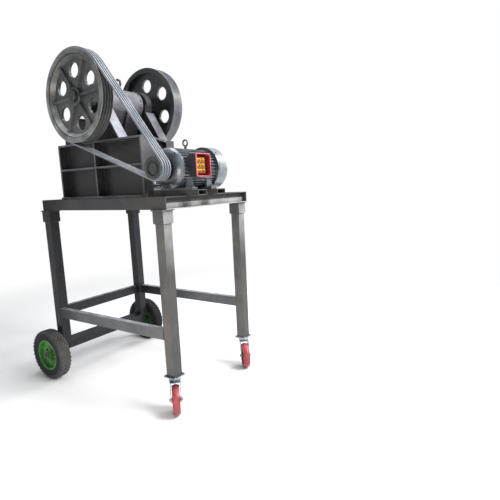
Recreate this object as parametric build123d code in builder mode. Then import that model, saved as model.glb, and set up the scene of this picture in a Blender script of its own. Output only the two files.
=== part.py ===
from build123d import *
import math
import os

# Belt-driven jaw crusher on its own wheeled stand.
# X runs along the crusher, from the feed end (-X) to the motor (+X).
# Y runs along the shafts, and the belt side is -Y. Z is up, and the floor is z = 0.

os.makedirs("parts", exist_ok=True)

# Stand: a channel frame on four square legs
deck_length = 1315.0
deck_width = 912.0
deck_top = 1443.0
channel_height = 80.0
channel_flange = 43.0
channel_thickness = 6.0
leg_size = 75.0
leg_wall = 4.0
socket_size = 91.0
socket_height = 90.0
socket_clearance = 0.5
socket_cap_size = 106.0
socket_cap_thickness = 8.0
front_leg_bottom = 285.0
rear_leg_bottom = 250.0
rail_top = 575.0
rail_height = 75.0
rail_thickness = 40.0
rail_wall = 4.0
cross_member_places = (-500.0, 265.0, 430.0)
rear_leg_inset = 30.0

# Road wheels under the feed end
tyre_diameter = 400.0
tyre_width = 98.0
tyre_bore = 232.0
tyre_setback = 15.0
rim_flange_diameter = 244.0
rim_width = 84.0
rim_wall = 4.0
rim_dish_offset = 12.0
wheel_hub_diameter = 46.0
wheel_hub_length = 92.0
axle_diameter = 25.0
axle_length = 1160.0
axle_end_reach = 65.0
tyre_track = axle_length - 2 * axle_end_reach
tyre_shoulder_share = 0.42
tyre_crown_drop = 4.0
tyre_crown_share = 0.6
tyre_wall_share = 0.84
tyre_bead_height = 8.0
tyre_seat_gap = 0.3
rim_dish_outer = 26.0
rim_dish_inner = 18.0
rim_hub_overlap = 4.0
axle_beam_height = 60.0
axle_beam_width = 60.0
axle_bracket_thickness = 12.0
axle_bracket_width = 50.0
axle_bracket_inset = 60.0
running_clearance = 0.05

# Swivel castors under the motor end
castor_diameter = 200.0
castor_width = 50.0
castor_trail = 58.0
castor_turn = -46.0
castor_plate_size = 105.0
castor_plate_thickness = 8.0
castor_race_diameter = 82.0
castor_race_height = 22.0
castor_race_gap = 0.3
castor_fork_thickness = 5.0
castor_fork_gap = 62.0
castor_axle_diameter = 14.0
castor_hub_width = 58.0
castor_plate_corner = 8.0
castor_crown_share = 1 / 3
castor_crown_inset = 4.0
castor_fork_nose = 20.0
castor_nut_reach = 8.0
castor_hub_wall = 12.0
castor_web_half = 8.0
castor_ring_depth = 34.0
castor_core_depth = 26.0
castor_tread_round = 8.0

# Crusher body
body_y = -26.0
chamber_width = 330.0
side_plate_thickness = 16.0
rib_depth = 72.0
rib_thickness = 14.0
body_front = -645.0
body_rear = 297.0
far_body_rear = 135.0
foot_rear = 340.0
foot_depth = 88.0
lower_body_height = 422.0
mid_rib_height = 220.0
panel_rib_x = -214.0
mouth_height = 600.0
mouth_chamfer = 25.0
mouth_drop = 60.0
rear_slope_foot = 80.0
rear_wall_x = 100.0
rear_wall_thickness = 20.0
front_wall_thickness = 22.0
bearing_seat_share = 0.95
bearing_seat_drop = 0.5
mouth_back_share = 1.5
top_rib_share = 1.4
journal_gap = 12.0

# Eccentric shaft, its bearings and its two wheels
shaft_x = -173.0
shaft_height = 718.0
shaft_diameter = 75.0
shaft_journal_diameter = 95.0
bearing_radius = 112.0
bearing_width = 62.0
barrel_radius = 104.0
barrel_cover = 9.0
barrel_cover_share = 0.9
bearing_chamfer = 6.0
journal_shoulder = 6.0
shaft_end_chamfer = 3.0
wheel_diameter = 635.0
wheel_rim_thickness = 42.0
wheel_web_thickness = 20.0
wheel_hub_radius = 62.0
wheel_hole_diameter = 104.0
wheel_hole_circle = 366.0
wheel_hole_count = 6
sheave_hole_angle = 34.0
flywheel_hole_angle = 34.0
sheave_front = -438.0
sheave_width = 93.0
sheave_rib_width = 18.0
sheave_rib_height = 20.0
flywheel_front = 250.0
flywheel_width = 100.0
shaft_end_reach = 14.0
hub_chamfer = 4.0
web_root = 6.0
rim_taper = 5.0
rim_edge = 3.0
hub_recess = 8.0

# Belts and grooves
belt_count = 4
belt_pitch = 21.0
belt_top_width = 17.0
belt_height = 11.0
groove_half_angle = 19.0
belt_sink = 1.5
belt_clearance = 0.3
groove_bottom_gap = 3.0
pulley_recess = 4.0
pulley_hub_wall = 14.0
pulley_dish = 12.0
pulley_rim_inner = 26.0
pulley_rim_face = 22.0
pulley_edge = 2.0

# Jaws, pitman and toggle
jaw_thickness = 26.0
tooth_height = 18.0
tooth_pitch = 30.0
jaw_side_gap = 5.0
tooth_root_share = 0.08
tooth_tip_share = 0.36
jaw_bottom_height = 40.0
gape = 200.0
discharge_gap = 42.0
cheek_thickness = 10.0
cheek_top_inset = 20.0
cheek_bottom_reach = 30.0
cheek_top_drop = 70.0
pitman_width = 300.0
pitman_toe_reach = 30.0
pitman_toe_drop = 4.0
pitman_toe_rise = 20.0
pitman_back_reach = 40.0
pitman_back_rise = 110.0
barrel_join_across = 0.8
barrel_join_along = 0.6
pitman_rib_depth = 48.0
pitman_rib_thickness = 22.0
toggle_thickness = 26.0
toggle_width = 200.0
toggle_height = 150.0
toggle_front_x = -335.0
toggle_block_length = 100.0
toggle_block_height = 90.0
toggle_rise = 28.0
toggle_z = 110.0
rod_diameter = 24.0
rod_height = 75.0
rod_end_x = 320.0
rod_hole_gap = 3.0
rod_washer_thickness = 6.0
nut_share = 0.9
nut_height_share = 0.8
nut_sides = 6
spring_radius = 26.0
spring_wire = 9.0
spring_turns = 8
spring_length = 170.0
spring_gap = 0.2

# Motor on its slide rails
motor_x = 549.0
motor_height = 181.0
motor_front = -330.0
motor_rear = 174.0
shield_diameter = 266.0
shield_thickness = 48.0
shield_band = 12.0
shield_arc_share = 0.71
stator_radius = 118.0
fin_height = 14.0
fin_thickness = 4.0
fin_count = 36
fan_cover_length = 100.0
fan_cover_radius = 150.0
cover_wall = 3.0
motor_shaft_diameter = 42.0
pulley_diameter = 145.0
feet_spacing = 202.0
feet_front = -206.0
slide_rail_height = 36.0
slide_rail_width = 90.0
slide_rail_wall = 5.0
slide_rail_length = 402.0
slide_rail_gap = 12.5
box_reach = 206.0
box_width = 150.0
box_height = 150.0
box_wall = 6.0
box_depth = 62.0
box_floor = 5.0
box_corner = 12.0
box_y = -181.0
box_rise = 12.0
terminal_width = 84.0
terminal_height = 60.0
terminal_base = 16.0
terminal_spacing = 24.0
terminal_stud_radius = 3.5
terminal_stud_length = 22.0
terminal_corner = 4.0
terminal_row_share = 1.2
terminal_columns = 3
terminal_rows = 2
rear_shield_thickness = 20.0
shield_boss_radius = 48.0
shield_boss_reach = 8.0
foot_reach = 142.0
foot_width = 56.0
foot_thickness = 16.0
foot_web_inner = 84.0
foot_web_outer = 104.0
foot_web_share = 0.55
stator_shaft_gap = 6.0
saddle_start_share = 0.8
saddle_share = 0.38
cover_round = 22.0
cover_slot_count = 24
cover_slot_width = 7.0
cover_slot_share = 0.5
cover_slot_place = 0.48
fan_hub_wall = 10.0
fan_place = 16.0
fan_width = 42.0
fan_disc = 5.0
fan_radius = 112.0
fan_blade_count = 8

# Lifting eyes
eye_ring = 30.0
eye_wire = 9.0
eye_collar = 14.0
motor_eye_ring = 20.0
motor_eye_wire = 6.0
motor_eye_collar = 20.0
motor_eye_y = -112.0
eye_collar_share = 1.6

# The stand's middle lies where the whole machine's box is centred on the origin
front_reach = deck_length / 2 + tyre_setback + tyre_diameter / 2
rear_reach = motor_x + box_reach
stand_x = (front_reach - rear_reach) / 2

deck_front = stand_x - deck_length / 2
deck_rear = stand_x + deck_length / 2
deck_bottom = deck_top - channel_height
half_width = deck_width / 2
shaft_z = deck_top + shaft_height
shaft_xx = stand_x + shaft_x
motor_xx = stand_x + motor_x
motor_z = deck_top + motor_height
box_z = motor_z + box_rise


def save(block, name):
    block.part.label = name
    export_step(block.part, f"parts/{name}.step")


def box_at(low, high, mode=Mode.ADD):
    """A block between two corners."""
    middle = [(a + b) / 2 for a, b in zip(low, high)]
    sizes = [b - a for a, b in zip(low, high)]
    with Locations(tuple(middle)):
        Box(*sizes, mode=mode)


def channel_section():
    """Channel section, web on the local -X side and flanges towards +X, centred in height."""
    with BuildSketch() as section:
        with BuildLine():
            Polyline(
                (0, -channel_height / 2),
                (channel_flange, -channel_height / 2),
                (channel_flange, -channel_height / 2 + channel_thickness),
                (channel_thickness, -channel_height / 2 + channel_thickness),
                (channel_thickness, channel_height / 2 - channel_thickness),
                (channel_flange, channel_height / 2 - channel_thickness),
                (channel_flange, channel_height / 2),
                (0, channel_height / 2),
                close=True,
            )
        make_face()
    return section.sketch


def y_plane(x, y, z):
    """A plane whose normal is +Y, with its local X along +X and its local Y along -Z."""
    return Plane(origin=(x, y, z), x_dir=(1, 0, 0), z_dir=(0, 1, 0))


def side_profile_plane(y):
    """A plane seen from the belt side: local X is +X, local Y is +Z, and its normal is -Y."""
    return Plane(origin=(stand_x, y, deck_top), x_dir=(1, 0, 0), z_dir=(0, -1, 0))


# Frame sides: the two long channels, webs outward, flanges cut back for the end channels
end_web = channel_flange - channel_thickness
channel_middle = deck_top - channel_height / 2
with BuildPart() as frame_sides:
    for side in (-1, 1):
        start = Plane(
            origin=(deck_front, side * half_width, channel_middle),
            x_dir=(0, -side, 0),
            z_dir=(1, 0, 0),
        )
        with BuildSketch(start):
            add(channel_section())
        extrude(amount=deck_length)
        for end in (deck_front, deck_rear - channel_flange):
            inner = side * (half_width - channel_thickness)
            tip = side * (half_width - channel_flange)
            box_at(
                (end, min(inner, tip), deck_bottom),
                (end + channel_flange, max(inner, tip), deck_top),
                mode=Mode.SUBTRACT,
            )
save(frame_sides, "frame_sides")

# Frame ends: channels between the side webs, open outward
with BuildPart() as frame_ends:
    for side, edge in ((-1, deck_front), (1, deck_rear)):
        start = Plane(
            origin=(edge - side * channel_flange, half_width - channel_thickness, channel_middle),
            x_dir=(side, 0, 0),
            z_dir=(0, -1, 0),
        )
        with BuildSketch(start):
            add(channel_section())
        extrude(amount=deck_width - 2 * channel_thickness)
save(frame_ends, "frame_ends")

# Cross members under the crusher's feet and the motor rails
with BuildPart() as cross_members:
    for place in cross_member_places:
        start = Plane(
            origin=(stand_x + place, half_width - channel_flange, channel_middle),
            x_dir=(1, 0, 0),
            z_dir=(0, -1, 0),
        )
        with BuildSketch(start):
            add(channel_section())
        extrude(amount=deck_width - 2 * channel_flange)
save(cross_members, "cross_members")

# Legs: square tubes that stand in their sockets under the frame
leg_corner = leg_size / 2
leg_near_y = -(half_width - leg_corner)
leg_front_x = deck_front + leg_corner
leg_rear_x = deck_rear - rear_leg_inset - leg_corner
leg_places = (
    (leg_front_x, leg_near_y, front_leg_bottom),
    (leg_front_x, -leg_near_y, front_leg_bottom),
    (leg_rear_x, leg_near_y, rear_leg_bottom),
    (leg_rear_x, -leg_near_y, rear_leg_bottom),
)
with BuildPart() as legs:
    for x, y, bottom in leg_places:
        with BuildSketch(Plane.XY.offset(bottom)):
            with Locations((x, y)):
                RectangleRounded(leg_size, leg_size, leg_wall)
                Rectangle(leg_size - 2 * leg_wall, leg_size - 2 * leg_wall, mode=Mode.SUBTRACT)
        extrude(amount=deck_bottom - bottom)
save(legs, "legs")

with BuildPart() as leg_sockets:
    socket_inner = leg_size + 2 * socket_clearance
    for x, y, bottom in leg_places:
        with BuildSketch(Plane.XY.offset(deck_bottom - socket_height)):
            with Locations((x, y)):
                Rectangle(socket_size, socket_size)
                Rectangle(socket_inner, socket_inner, mode=Mode.SUBTRACT)
        extrude(amount=socket_height)
        with BuildSketch(Plane.XY.offset(deck_bottom - socket_cap_thickness)):
            with Locations((x, y)):
                Rectangle(socket_cap_size, socket_cap_size)
                Rectangle(socket_inner, socket_inner, mode=Mode.SUBTRACT)
        extrude(amount=socket_cap_thickness)
save(leg_sockets, "leg_sockets")

# Lower rails on the belt side, the feed end and the far side; the motor end stays open
rail_start = leg_front_x + leg_size / 2
rail_end = leg_rear_x - leg_size / 2
rail_middle = rail_top - rail_height / 2


def rail_section():
    """Hollow section of a lower rail."""
    with BuildSketch() as section:
        Rectangle(rail_thickness, rail_height)
        Rectangle(rail_thickness - 2 * rail_wall, rail_height - 2 * rail_wall, mode=Mode.SUBTRACT)
    return section.sketch


with BuildPart() as lower_rails:
    for side in (-1, 1):
        middle_y = side * (half_width - rail_thickness / 2)
        start = Plane(origin=(rail_start, middle_y, rail_middle), x_dir=(0, 1, 0), z_dir=(1, 0, 0))
        with BuildSketch(start):
            add(rail_section())
        extrude(amount=rail_end - rail_start)
    cross_start = Plane(
        origin=(deck_front + rail_thickness / 2, half_width - leg_size, rail_middle),
        x_dir=(1, 0, 0),
        z_dir=(0, -1, 0),
    )
    with BuildSketch(cross_start):
        add(rail_section())
    extrude(amount=deck_width - 2 * leg_size)
save(lower_rails, "lower_rails")

# Axle beam under the front legs, the axle and its two brackets
axle_x = deck_front - tyre_setback
axle_z = tyre_diameter / 2
beam_top = front_leg_bottom
beam_bottom = beam_top - axle_beam_height
beam_half = tyre_track / 2 - tyre_width / 2 - axle_bracket_inset / 2
beam_front = axle_x - axle_beam_width / 2
beam_rear = leg_front_x + leg_size / 2
with BuildPart() as axle_beam:
    beam_start = Plane(
        origin=((beam_front + beam_rear) / 2, beam_half, (beam_top + beam_bottom) / 2),
        x_dir=(1, 0, 0),
        z_dir=(0, -1, 0),
    )
    with BuildSketch(beam_start):
        Rectangle(beam_rear - beam_front, axle_beam_height)
        Rectangle(
            beam_rear - beam_front - 2 * rail_wall,
            axle_beam_height - 2 * rail_wall,
            mode=Mode.SUBTRACT,
        )
    extrude(amount=2 * beam_half)
save(axle_beam, "axle_beam")

with BuildPart() as axle_brackets:
    for side in (-1, 1):
        middle_y = side * (beam_half - axle_bracket_inset)
        start = Plane(
            origin=(axle_x, middle_y - axle_bracket_thickness / 2, axle_z),
            x_dir=(1, 0, 0),
            z_dir=(0, 1, 0),
        )
        with BuildSketch(start):
            Circle(axle_bracket_width / 2)
            with Locations((0, -(beam_bottom - axle_z) / 2)):
                Rectangle(axle_bracket_width, beam_bottom - axle_z)
            Circle(axle_diameter / 2, mode=Mode.SUBTRACT)
        extrude(amount=axle_bracket_thickness)
save(axle_brackets, "axle_brackets")

with BuildPart() as axle:
    with BuildSketch(y_plane(axle_x, -axle_length / 2, axle_z)):
        Circle(axle_diameter / 2)
    extrude(amount=axle_length)
    chamfer(axle.edges().filter_by(GeomType.CIRCLE), 2)
save(axle, "axle")


def tyre_section():
    """Half section of the tyre: local X is the radius, local Y lies across the tread."""
    outer = tyre_diameter / 2
    half = tyre_width / 2
    bead = tyre_bore / 2
    shoulder = outer - half * tyre_shoulder_share
    bead_half = rim_width / 2 - rim_wall - tyre_seat_gap
    clear = rim_flange_diameter / 2 + 1
    wall = clear + tyre_bead_height
    sidewall = ((wall + shoulder) / 2, half)
    crown = (outer - tyre_crown_drop, half * tyre_crown_share)
    side = half * tyre_wall_share
    with BuildSketch() as section:
        with BuildLine():
            Polyline(
                (wall, -side),
                (clear, -bead_half),
                (bead, -bead_half),
                (bead, bead_half),
                (clear, bead_half),
                (wall, side),
            )
            ThreePointArc((wall, side), sidewall, (shoulder, side))
            Line((shoulder, side), crown)
            ThreePointArc(crown, (outer, 0), (crown[0], -crown[1]))
            Line((crown[0], -crown[1]), (shoulder, -side))
            ThreePointArc((shoulder, -side), (sidewall[0], -half), (wall, -side))
        make_face()
    return section.sketch


def road_wheel(label, wheel_y):
    """A tyre on its pressed rim, turning on the axle."""
    section = Plane(origin=(axle_x, wheel_y, axle_z), x_dir=(1, 0, 0), z_dir=(0, 0, 1))
    spin = Axis((axle_x, wheel_y, axle_z), (0, 1, 0))
    with BuildPart() as tyre:
        with BuildSketch(section):
            add(tyre_section())
        revolve(axis=spin)
    save(tyre, f"tyre_{label}")

    flange = rim_flange_diameter / 2
    seat = tyre_bore / 2 - tyre_seat_gap
    half = rim_width / 2
    hub = wheel_hub_diameter / 2
    bore = axle_diameter / 2 + running_clearance
    with BuildPart() as rim:
        with BuildSketch(section):
            with BuildLine():
                Polyline(
                    (seat - rim_wall, -half),
                    (flange, -half),
                    (flange, -half + rim_wall),
                    (seat, -half + rim_wall),
                    (seat, half - rim_wall),
                    (flange, half - rim_wall),
                    (flange, half),
                    (seat - rim_wall, half),
                    close=True,
                )
            make_face()
            with BuildLine():
                Polyline(
                    (seat - rim_wall / 2, -rim_dish_offset),
                    (seat - rim_wall / 2, -rim_dish_offset + rim_wall),
                    (seat - rim_dish_outer, -rim_dish_offset + rim_wall),
                    (hub + rim_dish_inner, rim_dish_offset + rim_wall),
                    (hub - rim_hub_overlap, rim_dish_offset + rim_wall),
                    (hub - rim_hub_overlap, rim_dish_offset),
                    (hub + rim_dish_inner, rim_dish_offset),
                    (seat - rim_dish_outer, -rim_dish_offset),
                    close=True,
                )
            make_face()
            with Locations(((bore + hub) / 2, 0)):
                Rectangle(hub - bore, wheel_hub_length)
        revolve(axis=spin)
    save(rim, f"rim_{label}")


for label, side in (("near", -1), ("far", 1)):
    road_wheel(label, side * tyre_track / 2)

# Castors
castor_z = castor_diameter / 2
trail_x = castor_trail * math.cos(math.radians(castor_turn))
trail_y = castor_trail * math.sin(math.radians(castor_turn))
race_top = rear_leg_bottom - castor_plate_thickness
race_bottom = race_top - castor_race_height
castor_places = (("near", leg_rear_x, leg_near_y), ("far", leg_rear_x, -leg_near_y))
with BuildPart() as castor_plates:
    for label, x, y in castor_places:
        with BuildSketch(Plane.XY.offset(race_top)):
            with Locations((x, y)):
                RectangleRounded(castor_plate_size, castor_plate_size, castor_plate_corner)
        extrude(amount=castor_plate_thickness)
        with BuildSketch(Plane.XY.offset(race_top)):
            with Locations((x, y)):
                Circle(castor_race_diameter / 2)
        extrude(amount=-castor_race_height)
save(castor_plates, "castor_plates")


def castor(label, swivel_x, swivel_y):
    """Fork and wheel of one castor, in a plane whose local X points along its trail."""
    turn = math.radians(castor_turn)
    along = Vector(math.cos(turn), math.sin(turn), 0)
    across = Vector(-math.sin(turn), math.cos(turn), 0)
    pivot = Vector(swivel_x, swivel_y, 0)
    crown_top = race_bottom - castor_race_gap
    crown_bottom = crown_top - castor_fork_thickness
    half_gap = castor_fork_gap / 2
    outer = half_gap + castor_fork_thickness
    crown_middle = castor_trail * castor_crown_share
    crown_low = crown_middle - castor_race_diameter / 2
    crown_high = crown_middle + castor_race_diameter / 2
    hub = pivot + along * castor_trail + Vector(0, 0, castor_z)
    with BuildPart() as fork:
        crown = Plane(origin=pivot + Vector(0, 0, crown_bottom), x_dir=along, z_dir=(0, 0, 1))
        with BuildSketch(crown):
            Circle(castor_race_diameter / 2)
            with Locations((crown_middle, 0)):
                Rectangle(castor_race_diameter, 2 * outer)
        extrude(amount=castor_fork_thickness)
        for start in (outer, -half_gap):
            cheek = Plane(origin=pivot + across * start, x_dir=along, z_dir=across * -1)
            with BuildSketch(cheek):
                with BuildLine():
                    Polyline(
                        (castor_trail - castor_fork_nose, castor_z),
                        (crown_low + castor_crown_inset, crown_bottom),
                        (crown_high, crown_bottom),
                        (castor_trail + castor_fork_nose, castor_z),
                    )
                    ThreePointArc(
                        (castor_trail + castor_fork_nose, castor_z),
                        (castor_trail, castor_z - castor_fork_nose),
                        (castor_trail - castor_fork_nose, castor_z),
                    )
                make_face()
                with Locations((castor_trail, castor_z)):
                    Circle(castor_axle_diameter / 2, mode=Mode.SUBTRACT)
            extrude(amount=castor_fork_thickness)
        pin = Plane(
            origin=hub + across * (outer + castor_nut_reach),
            x_dir=along,
            z_dir=across * -1,
        )
        with BuildSketch(pin):
            Circle(castor_axle_diameter / 2)
        extrude(amount=2 * (outer + castor_nut_reach))
    save(fork, f"castor_fork_{label}")

    section = Plane(origin=hub, x_dir=along, z_dir=(0, 0, 1))
    radius = castor_diameter / 2
    shoulder = radius - castor_tread_round
    half = castor_width / 2
    bore = castor_axle_diameter / 2 + running_clearance
    hub_half = castor_hub_width / 2
    with BuildPart() as wheel:
        with BuildSketch(section):
            with BuildLine():
                Polyline(
                    (bore, -hub_half),
                    (bore + castor_hub_wall, -hub_half),
                    (bore + castor_hub_wall, -castor_web_half),
                    (radius - castor_ring_depth, -castor_web_half),
                    (radius - castor_core_depth, -half),
                    (shoulder, -half),
                )
                ThreePointArc((shoulder, -half), (radius, 0), (shoulder, half))
                Polyline(
                    (shoulder, half),
                    (radius - castor_core_depth, half),
                    (radius - castor_ring_depth, castor_web_half),
                    (bore + castor_hub_wall, castor_web_half),
                    (bore + castor_hub_wall, hub_half),
                    (bore, hub_half),
                    (bore, -hub_half),
                )
            make_face()
        revolve(axis=Axis(hub, across))
    save(wheel, f"castor_wheel_{label}")


for label, x, y in castor_places:
    castor(label, x, y)

# Crusher side plates, each with its ribs, foot and bearing seat
plate_offset = chamber_width / 2
bearing_seat_corner = (
    shaft_x + bearing_radius * bearing_seat_share,
    shaft_height - bearing_radius * bearing_seat_drop,
)
foot_overhang = foot_rear - body_rear


def side_plate(label, side, rear):
    """One side of the body: plate, outer ribs, foot and the inclined flange to the bearing."""
    side_outline = (
        (body_front, 0),
        (rear, 0),
        (rear, lower_body_height),
        (rear_slope_foot, lower_body_height),
        bearing_seat_corner,
        (shaft_x + bearing_radius, shaft_height),
        (shaft_x - bearing_radius, shaft_height),
        (shaft_x - bearing_radius * mouth_back_share, mouth_height),
        (body_front + mouth_chamfer, mouth_height),
        (body_front, mouth_height - mouth_drop),
    )
    inner = body_y + side * plate_offset
    outer = inner + side * side_plate_thickness
    tip = outer + side * rib_depth
    foot_tip = outer + side * foot_depth
    with BuildPart() as plate:
        with BuildSketch(side_profile_plane(max(inner, outer))):
            with BuildLine():
                Polyline(*side_outline, close=True)
            make_face()
            with Locations((shaft_x, shaft_height)):
                Circle(shaft_journal_diameter / 2 + journal_gap, mode=Mode.SUBTRACT)
        extrude(amount=side_plate_thickness)
        low_y, high_y = sorted((outer, tip))
        for z in (mid_rib_height, lower_body_height - rib_thickness):
            box_at(
                (stand_x + body_front, low_y, deck_top + z),
                (stand_x + rear, high_y, deck_top + z + rib_thickness),
            )
        for x in (body_front, panel_rib_x, rear - rib_thickness):
            box_at(
                (stand_x + x, low_y, deck_top),
                (stand_x + x + rib_thickness, high_y, deck_top + lower_body_height),
            )
        box_at(
            (stand_x + body_front + mouth_chamfer, low_y, deck_top + mouth_height - rib_thickness),
            (stand_x + shaft_x - bearing_radius * top_rib_share, high_y, deck_top + mouth_height),
        )
        foot_low, foot_high = sorted((inner, foot_tip))
        box_at(
            (stand_x + body_front, foot_low, deck_top),
            (stand_x + rear + foot_overhang, foot_high, deck_top + rib_thickness),
        )
        slope_start = (rear_slope_foot, lower_body_height)
        slope_end = bearing_seat_corner
        run = math.dist(slope_start, slope_end)
        back_x = rib_thickness * (slope_end[1] - slope_start[1]) / run
        back_z = rib_thickness * (slope_start[0] - slope_end[0]) / run
        with BuildSketch(side_profile_plane(high_y)):
            with BuildLine():
                Polyline(
                    slope_start,
                    slope_end,
                    (slope_end[0] - back_x, slope_end[1] - back_z),
                    (slope_start[0] - back_x, slope_start[1]),
                    close=True,
                )
            make_face()
        extrude(amount=rib_depth)
    save(plate, f"side_plate_{label}")


for label, side, rear in (("near", -1, body_rear), ("far", 1, far_body_rear)):
    side_plate(label, side, rear)

# Front and rear walls between the side plates
chamber_low = body_y - plate_offset
chamber_high = body_y + plate_offset
wall_low = stand_x + body_front
with BuildPart() as front_wall:
    box_at(
        (wall_low, chamber_low, deck_top),
        (wall_low + front_wall_thickness, chamber_high, deck_top + mouth_height - mouth_drop),
    )
save(front_wall, "front_wall")

rear_low = stand_x + rear_wall_x - rear_wall_thickness
with BuildPart() as rear_wall:
    box_at(
        (rear_low, chamber_low, deck_top),
        (rear_low + rear_wall_thickness, chamber_high, deck_top + lower_body_height),
    )
    shelf_start = rear_low + rear_wall_thickness
    with BuildSketch(Plane.XY.offset(deck_top + lower_body_height - rib_thickness)):
        with BuildLine():
            Polyline(
                (shelf_start, chamber_low),
                (stand_x + body_rear, chamber_low),
                (stand_x + far_body_rear, chamber_high),
                (shelf_start, chamber_high),
                close=True,
            )
        make_face()
    extrude(amount=rib_thickness)
    with Locations(Plane(origin=(rear_low, body_y, deck_top + rod_height), z_dir=(1, 0, 0))):
        Cylinder(
            rod_diameter / 2 + rod_hole_gap,
            4 * rear_wall_thickness,
            mode=Mode.SUBTRACT,
        )
save(rear_wall, "rear_wall")


def toothed_section(length):
    """Section of a corrugated jaw plate: flat back at local y = 0, teeth towards +Y."""
    teeth = int(length / tooth_pitch)
    first = -teeth * tooth_pitch / 2
    tip = jaw_thickness + tooth_height
    points = [(-length / 2, 0), (-length / 2, jaw_thickness)]
    for index in range(teeth):
        left = first + index * tooth_pitch
        points += [
            (left + tooth_pitch * tooth_root_share, jaw_thickness),
            (left + tooth_pitch * tooth_tip_share, tip),
            (left + tooth_pitch * (1 - tooth_tip_share), tip),
            (left + tooth_pitch * (1 - tooth_root_share), jaw_thickness),
        ]
    points += [(length / 2, jaw_thickness), (length / 2, 0)]
    with BuildSketch() as section:
        with BuildLine():
            Polyline(*points, close=True)
        make_face()
    return section.sketch


# Fixed jaw: corrugated plate that stands against the front wall
jaw_width = chamber_width - 2 * cheek_thickness - 2 * jaw_side_gap
fixed_back = stand_x + body_front + front_wall_thickness
jaw_bottom = deck_top + jaw_bottom_height
fixed_height = mouth_height - mouth_drop - jaw_bottom_height
fixed_plane = Plane(origin=(fixed_back, body_y, jaw_bottom), x_dir=(0, -1, 0), z_dir=(0, 0, 1))
with BuildPart() as fixed_jaw:
    with BuildSketch(fixed_plane):
        add(toothed_section(jaw_width))
    extrude(amount=fixed_height)
save(fixed_jaw, "fixed_jaw")

# Swing jaw: its tooth tips run from the gape at the mouth to the discharge gap below
fixed_tips = body_front + front_wall_thickness + jaw_thickness + tooth_height
swing_top_x = fixed_tips + gape
swing_bottom_x = fixed_tips + discharge_gap
swing_length = math.dist((swing_top_x, mouth_height), (swing_bottom_x, jaw_bottom_height))
swing_up = Vector(swing_top_x - swing_bottom_x, 0, mouth_height - jaw_bottom_height).normalized()
swing_front = Vector(-swing_up.Z, 0, swing_up.X)
swing_bottom = Vector(stand_x + swing_bottom_x, body_y, jaw_bottom)
swing_seat = swing_bottom - swing_front * (jaw_thickness + tooth_height)
swing_plane = Plane(origin=swing_seat, x_dir=(0, 1, 0), z_dir=swing_up)
with BuildPart() as swing_jaw:
    with BuildSketch(swing_plane):
        add(toothed_section(jaw_width - tooth_pitch))
    extrude(amount=swing_length)
save(swing_jaw, "swing_jaw")

# Cheek plates line the chamber beside the jaws
cheek_rear_top = swing_top_x - cheek_top_inset
cheek_rear_bottom = swing_bottom_x + cheek_bottom_reach
with BuildPart() as cheek_plates:
    for start in (chamber_low + cheek_thickness, chamber_high):
        with BuildSketch(side_profile_plane(start)):
            with BuildLine():
                Polyline(
                    (body_front + front_wall_thickness, jaw_bottom_height),
                    (cheek_rear_bottom, jaw_bottom_height),
                    (cheek_rear_top, mouth_height - cheek_top_drop),
                    (body_front + front_wall_thickness, mouth_height - cheek_top_drop),
                    close=True,
                )
            make_face()
        extrude(amount=cheek_thickness)
save(cheek_plates, "cheek_plates")

# Pitman: barrel round the shaft and the jaw stock that hangs from it
seat_bottom = (swing_seat.X - stand_x, swing_seat.Z - deck_top)
seat_top_point = swing_seat + swing_up * swing_length
seat_top = (seat_top_point.X - stand_x, seat_top_point.Z - deck_top)
shaft_bore = shaft_journal_diameter / 2 + running_clearance
pitman_back_low = (toggle_front_x + pitman_back_reach, toggle_z + pitman_back_rise)
pitman_front_high = (
    shaft_x - barrel_radius * barrel_join_across,
    shaft_height + barrel_radius * barrel_join_along,
)
pitman_back_high = (
    shaft_x + barrel_radius * barrel_join_across,
    shaft_height - barrel_radius * barrel_join_along,
)
with BuildPart() as pitman:
    with BuildSketch(side_profile_plane(body_y + pitman_width / 2)):
        with BuildLine():
            Polyline(
                seat_top,
                seat_bottom,
                (seat_bottom[0] + pitman_toe_reach, seat_bottom[1] - pitman_toe_drop),
                (toggle_front_x, jaw_bottom_height + pitman_toe_rise),
                (toggle_front_x, toggle_z + toggle_thickness),
                pitman_back_low,
                pitman_back_high,
                pitman_front_high,
                close=True,
            )
        make_face()
        with Locations((shaft_x, shaft_height)):
            Circle(barrel_radius)
            Circle(shaft_bore, mode=Mode.SUBTRACT)
    extrude(amount=pitman_width)
    for start in (body_y - pitman_width / 2 - barrel_cover, body_y + pitman_width / 2):
        with BuildSketch(y_plane(shaft_xx, start, shaft_z)):
            Circle(barrel_radius * barrel_cover_share)
            Circle(shaft_bore, mode=Mode.SUBTRACT)
        extrude(amount=barrel_cover)
    with BuildSketch(side_profile_plane(body_y + pitman_rib_thickness / 2)):
        with BuildLine():
            Polyline(
                pitman_back_high,
                pitman_back_low,
                (pitman_back_low[0] + pitman_rib_depth, pitman_back_low[1] + pitman_rib_depth),
                (pitman_back_high[0] + pitman_rib_depth / 2, pitman_back_high[1]),
                close=True,
            )
        make_face()
        with Locations((shaft_x, shaft_height)):
            Circle(shaft_bore, mode=Mode.SUBTRACT)
    extrude(amount=pitman_rib_thickness)
save(pitman, "pitman")

# Toggle plate between the pitman and the adjusting block on the rear wall
block_front = rear_wall_x - rear_wall_thickness - toggle_block_length
with BuildPart() as toggle_plate:
    with BuildSketch(side_profile_plane(body_y + toggle_width / 2)):
        with BuildLine():
            Polyline(
                (toggle_front_x, toggle_z - toggle_thickness / 2),
                (block_front, toggle_z + toggle_rise - toggle_thickness / 2),
                (block_front, toggle_z + toggle_rise + toggle_thickness / 2),
                (toggle_front_x, toggle_z + toggle_thickness / 2),
                close=True,
            )
        make_face()
    extrude(amount=toggle_width)
save(toggle_plate, "toggle_plate")

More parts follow.
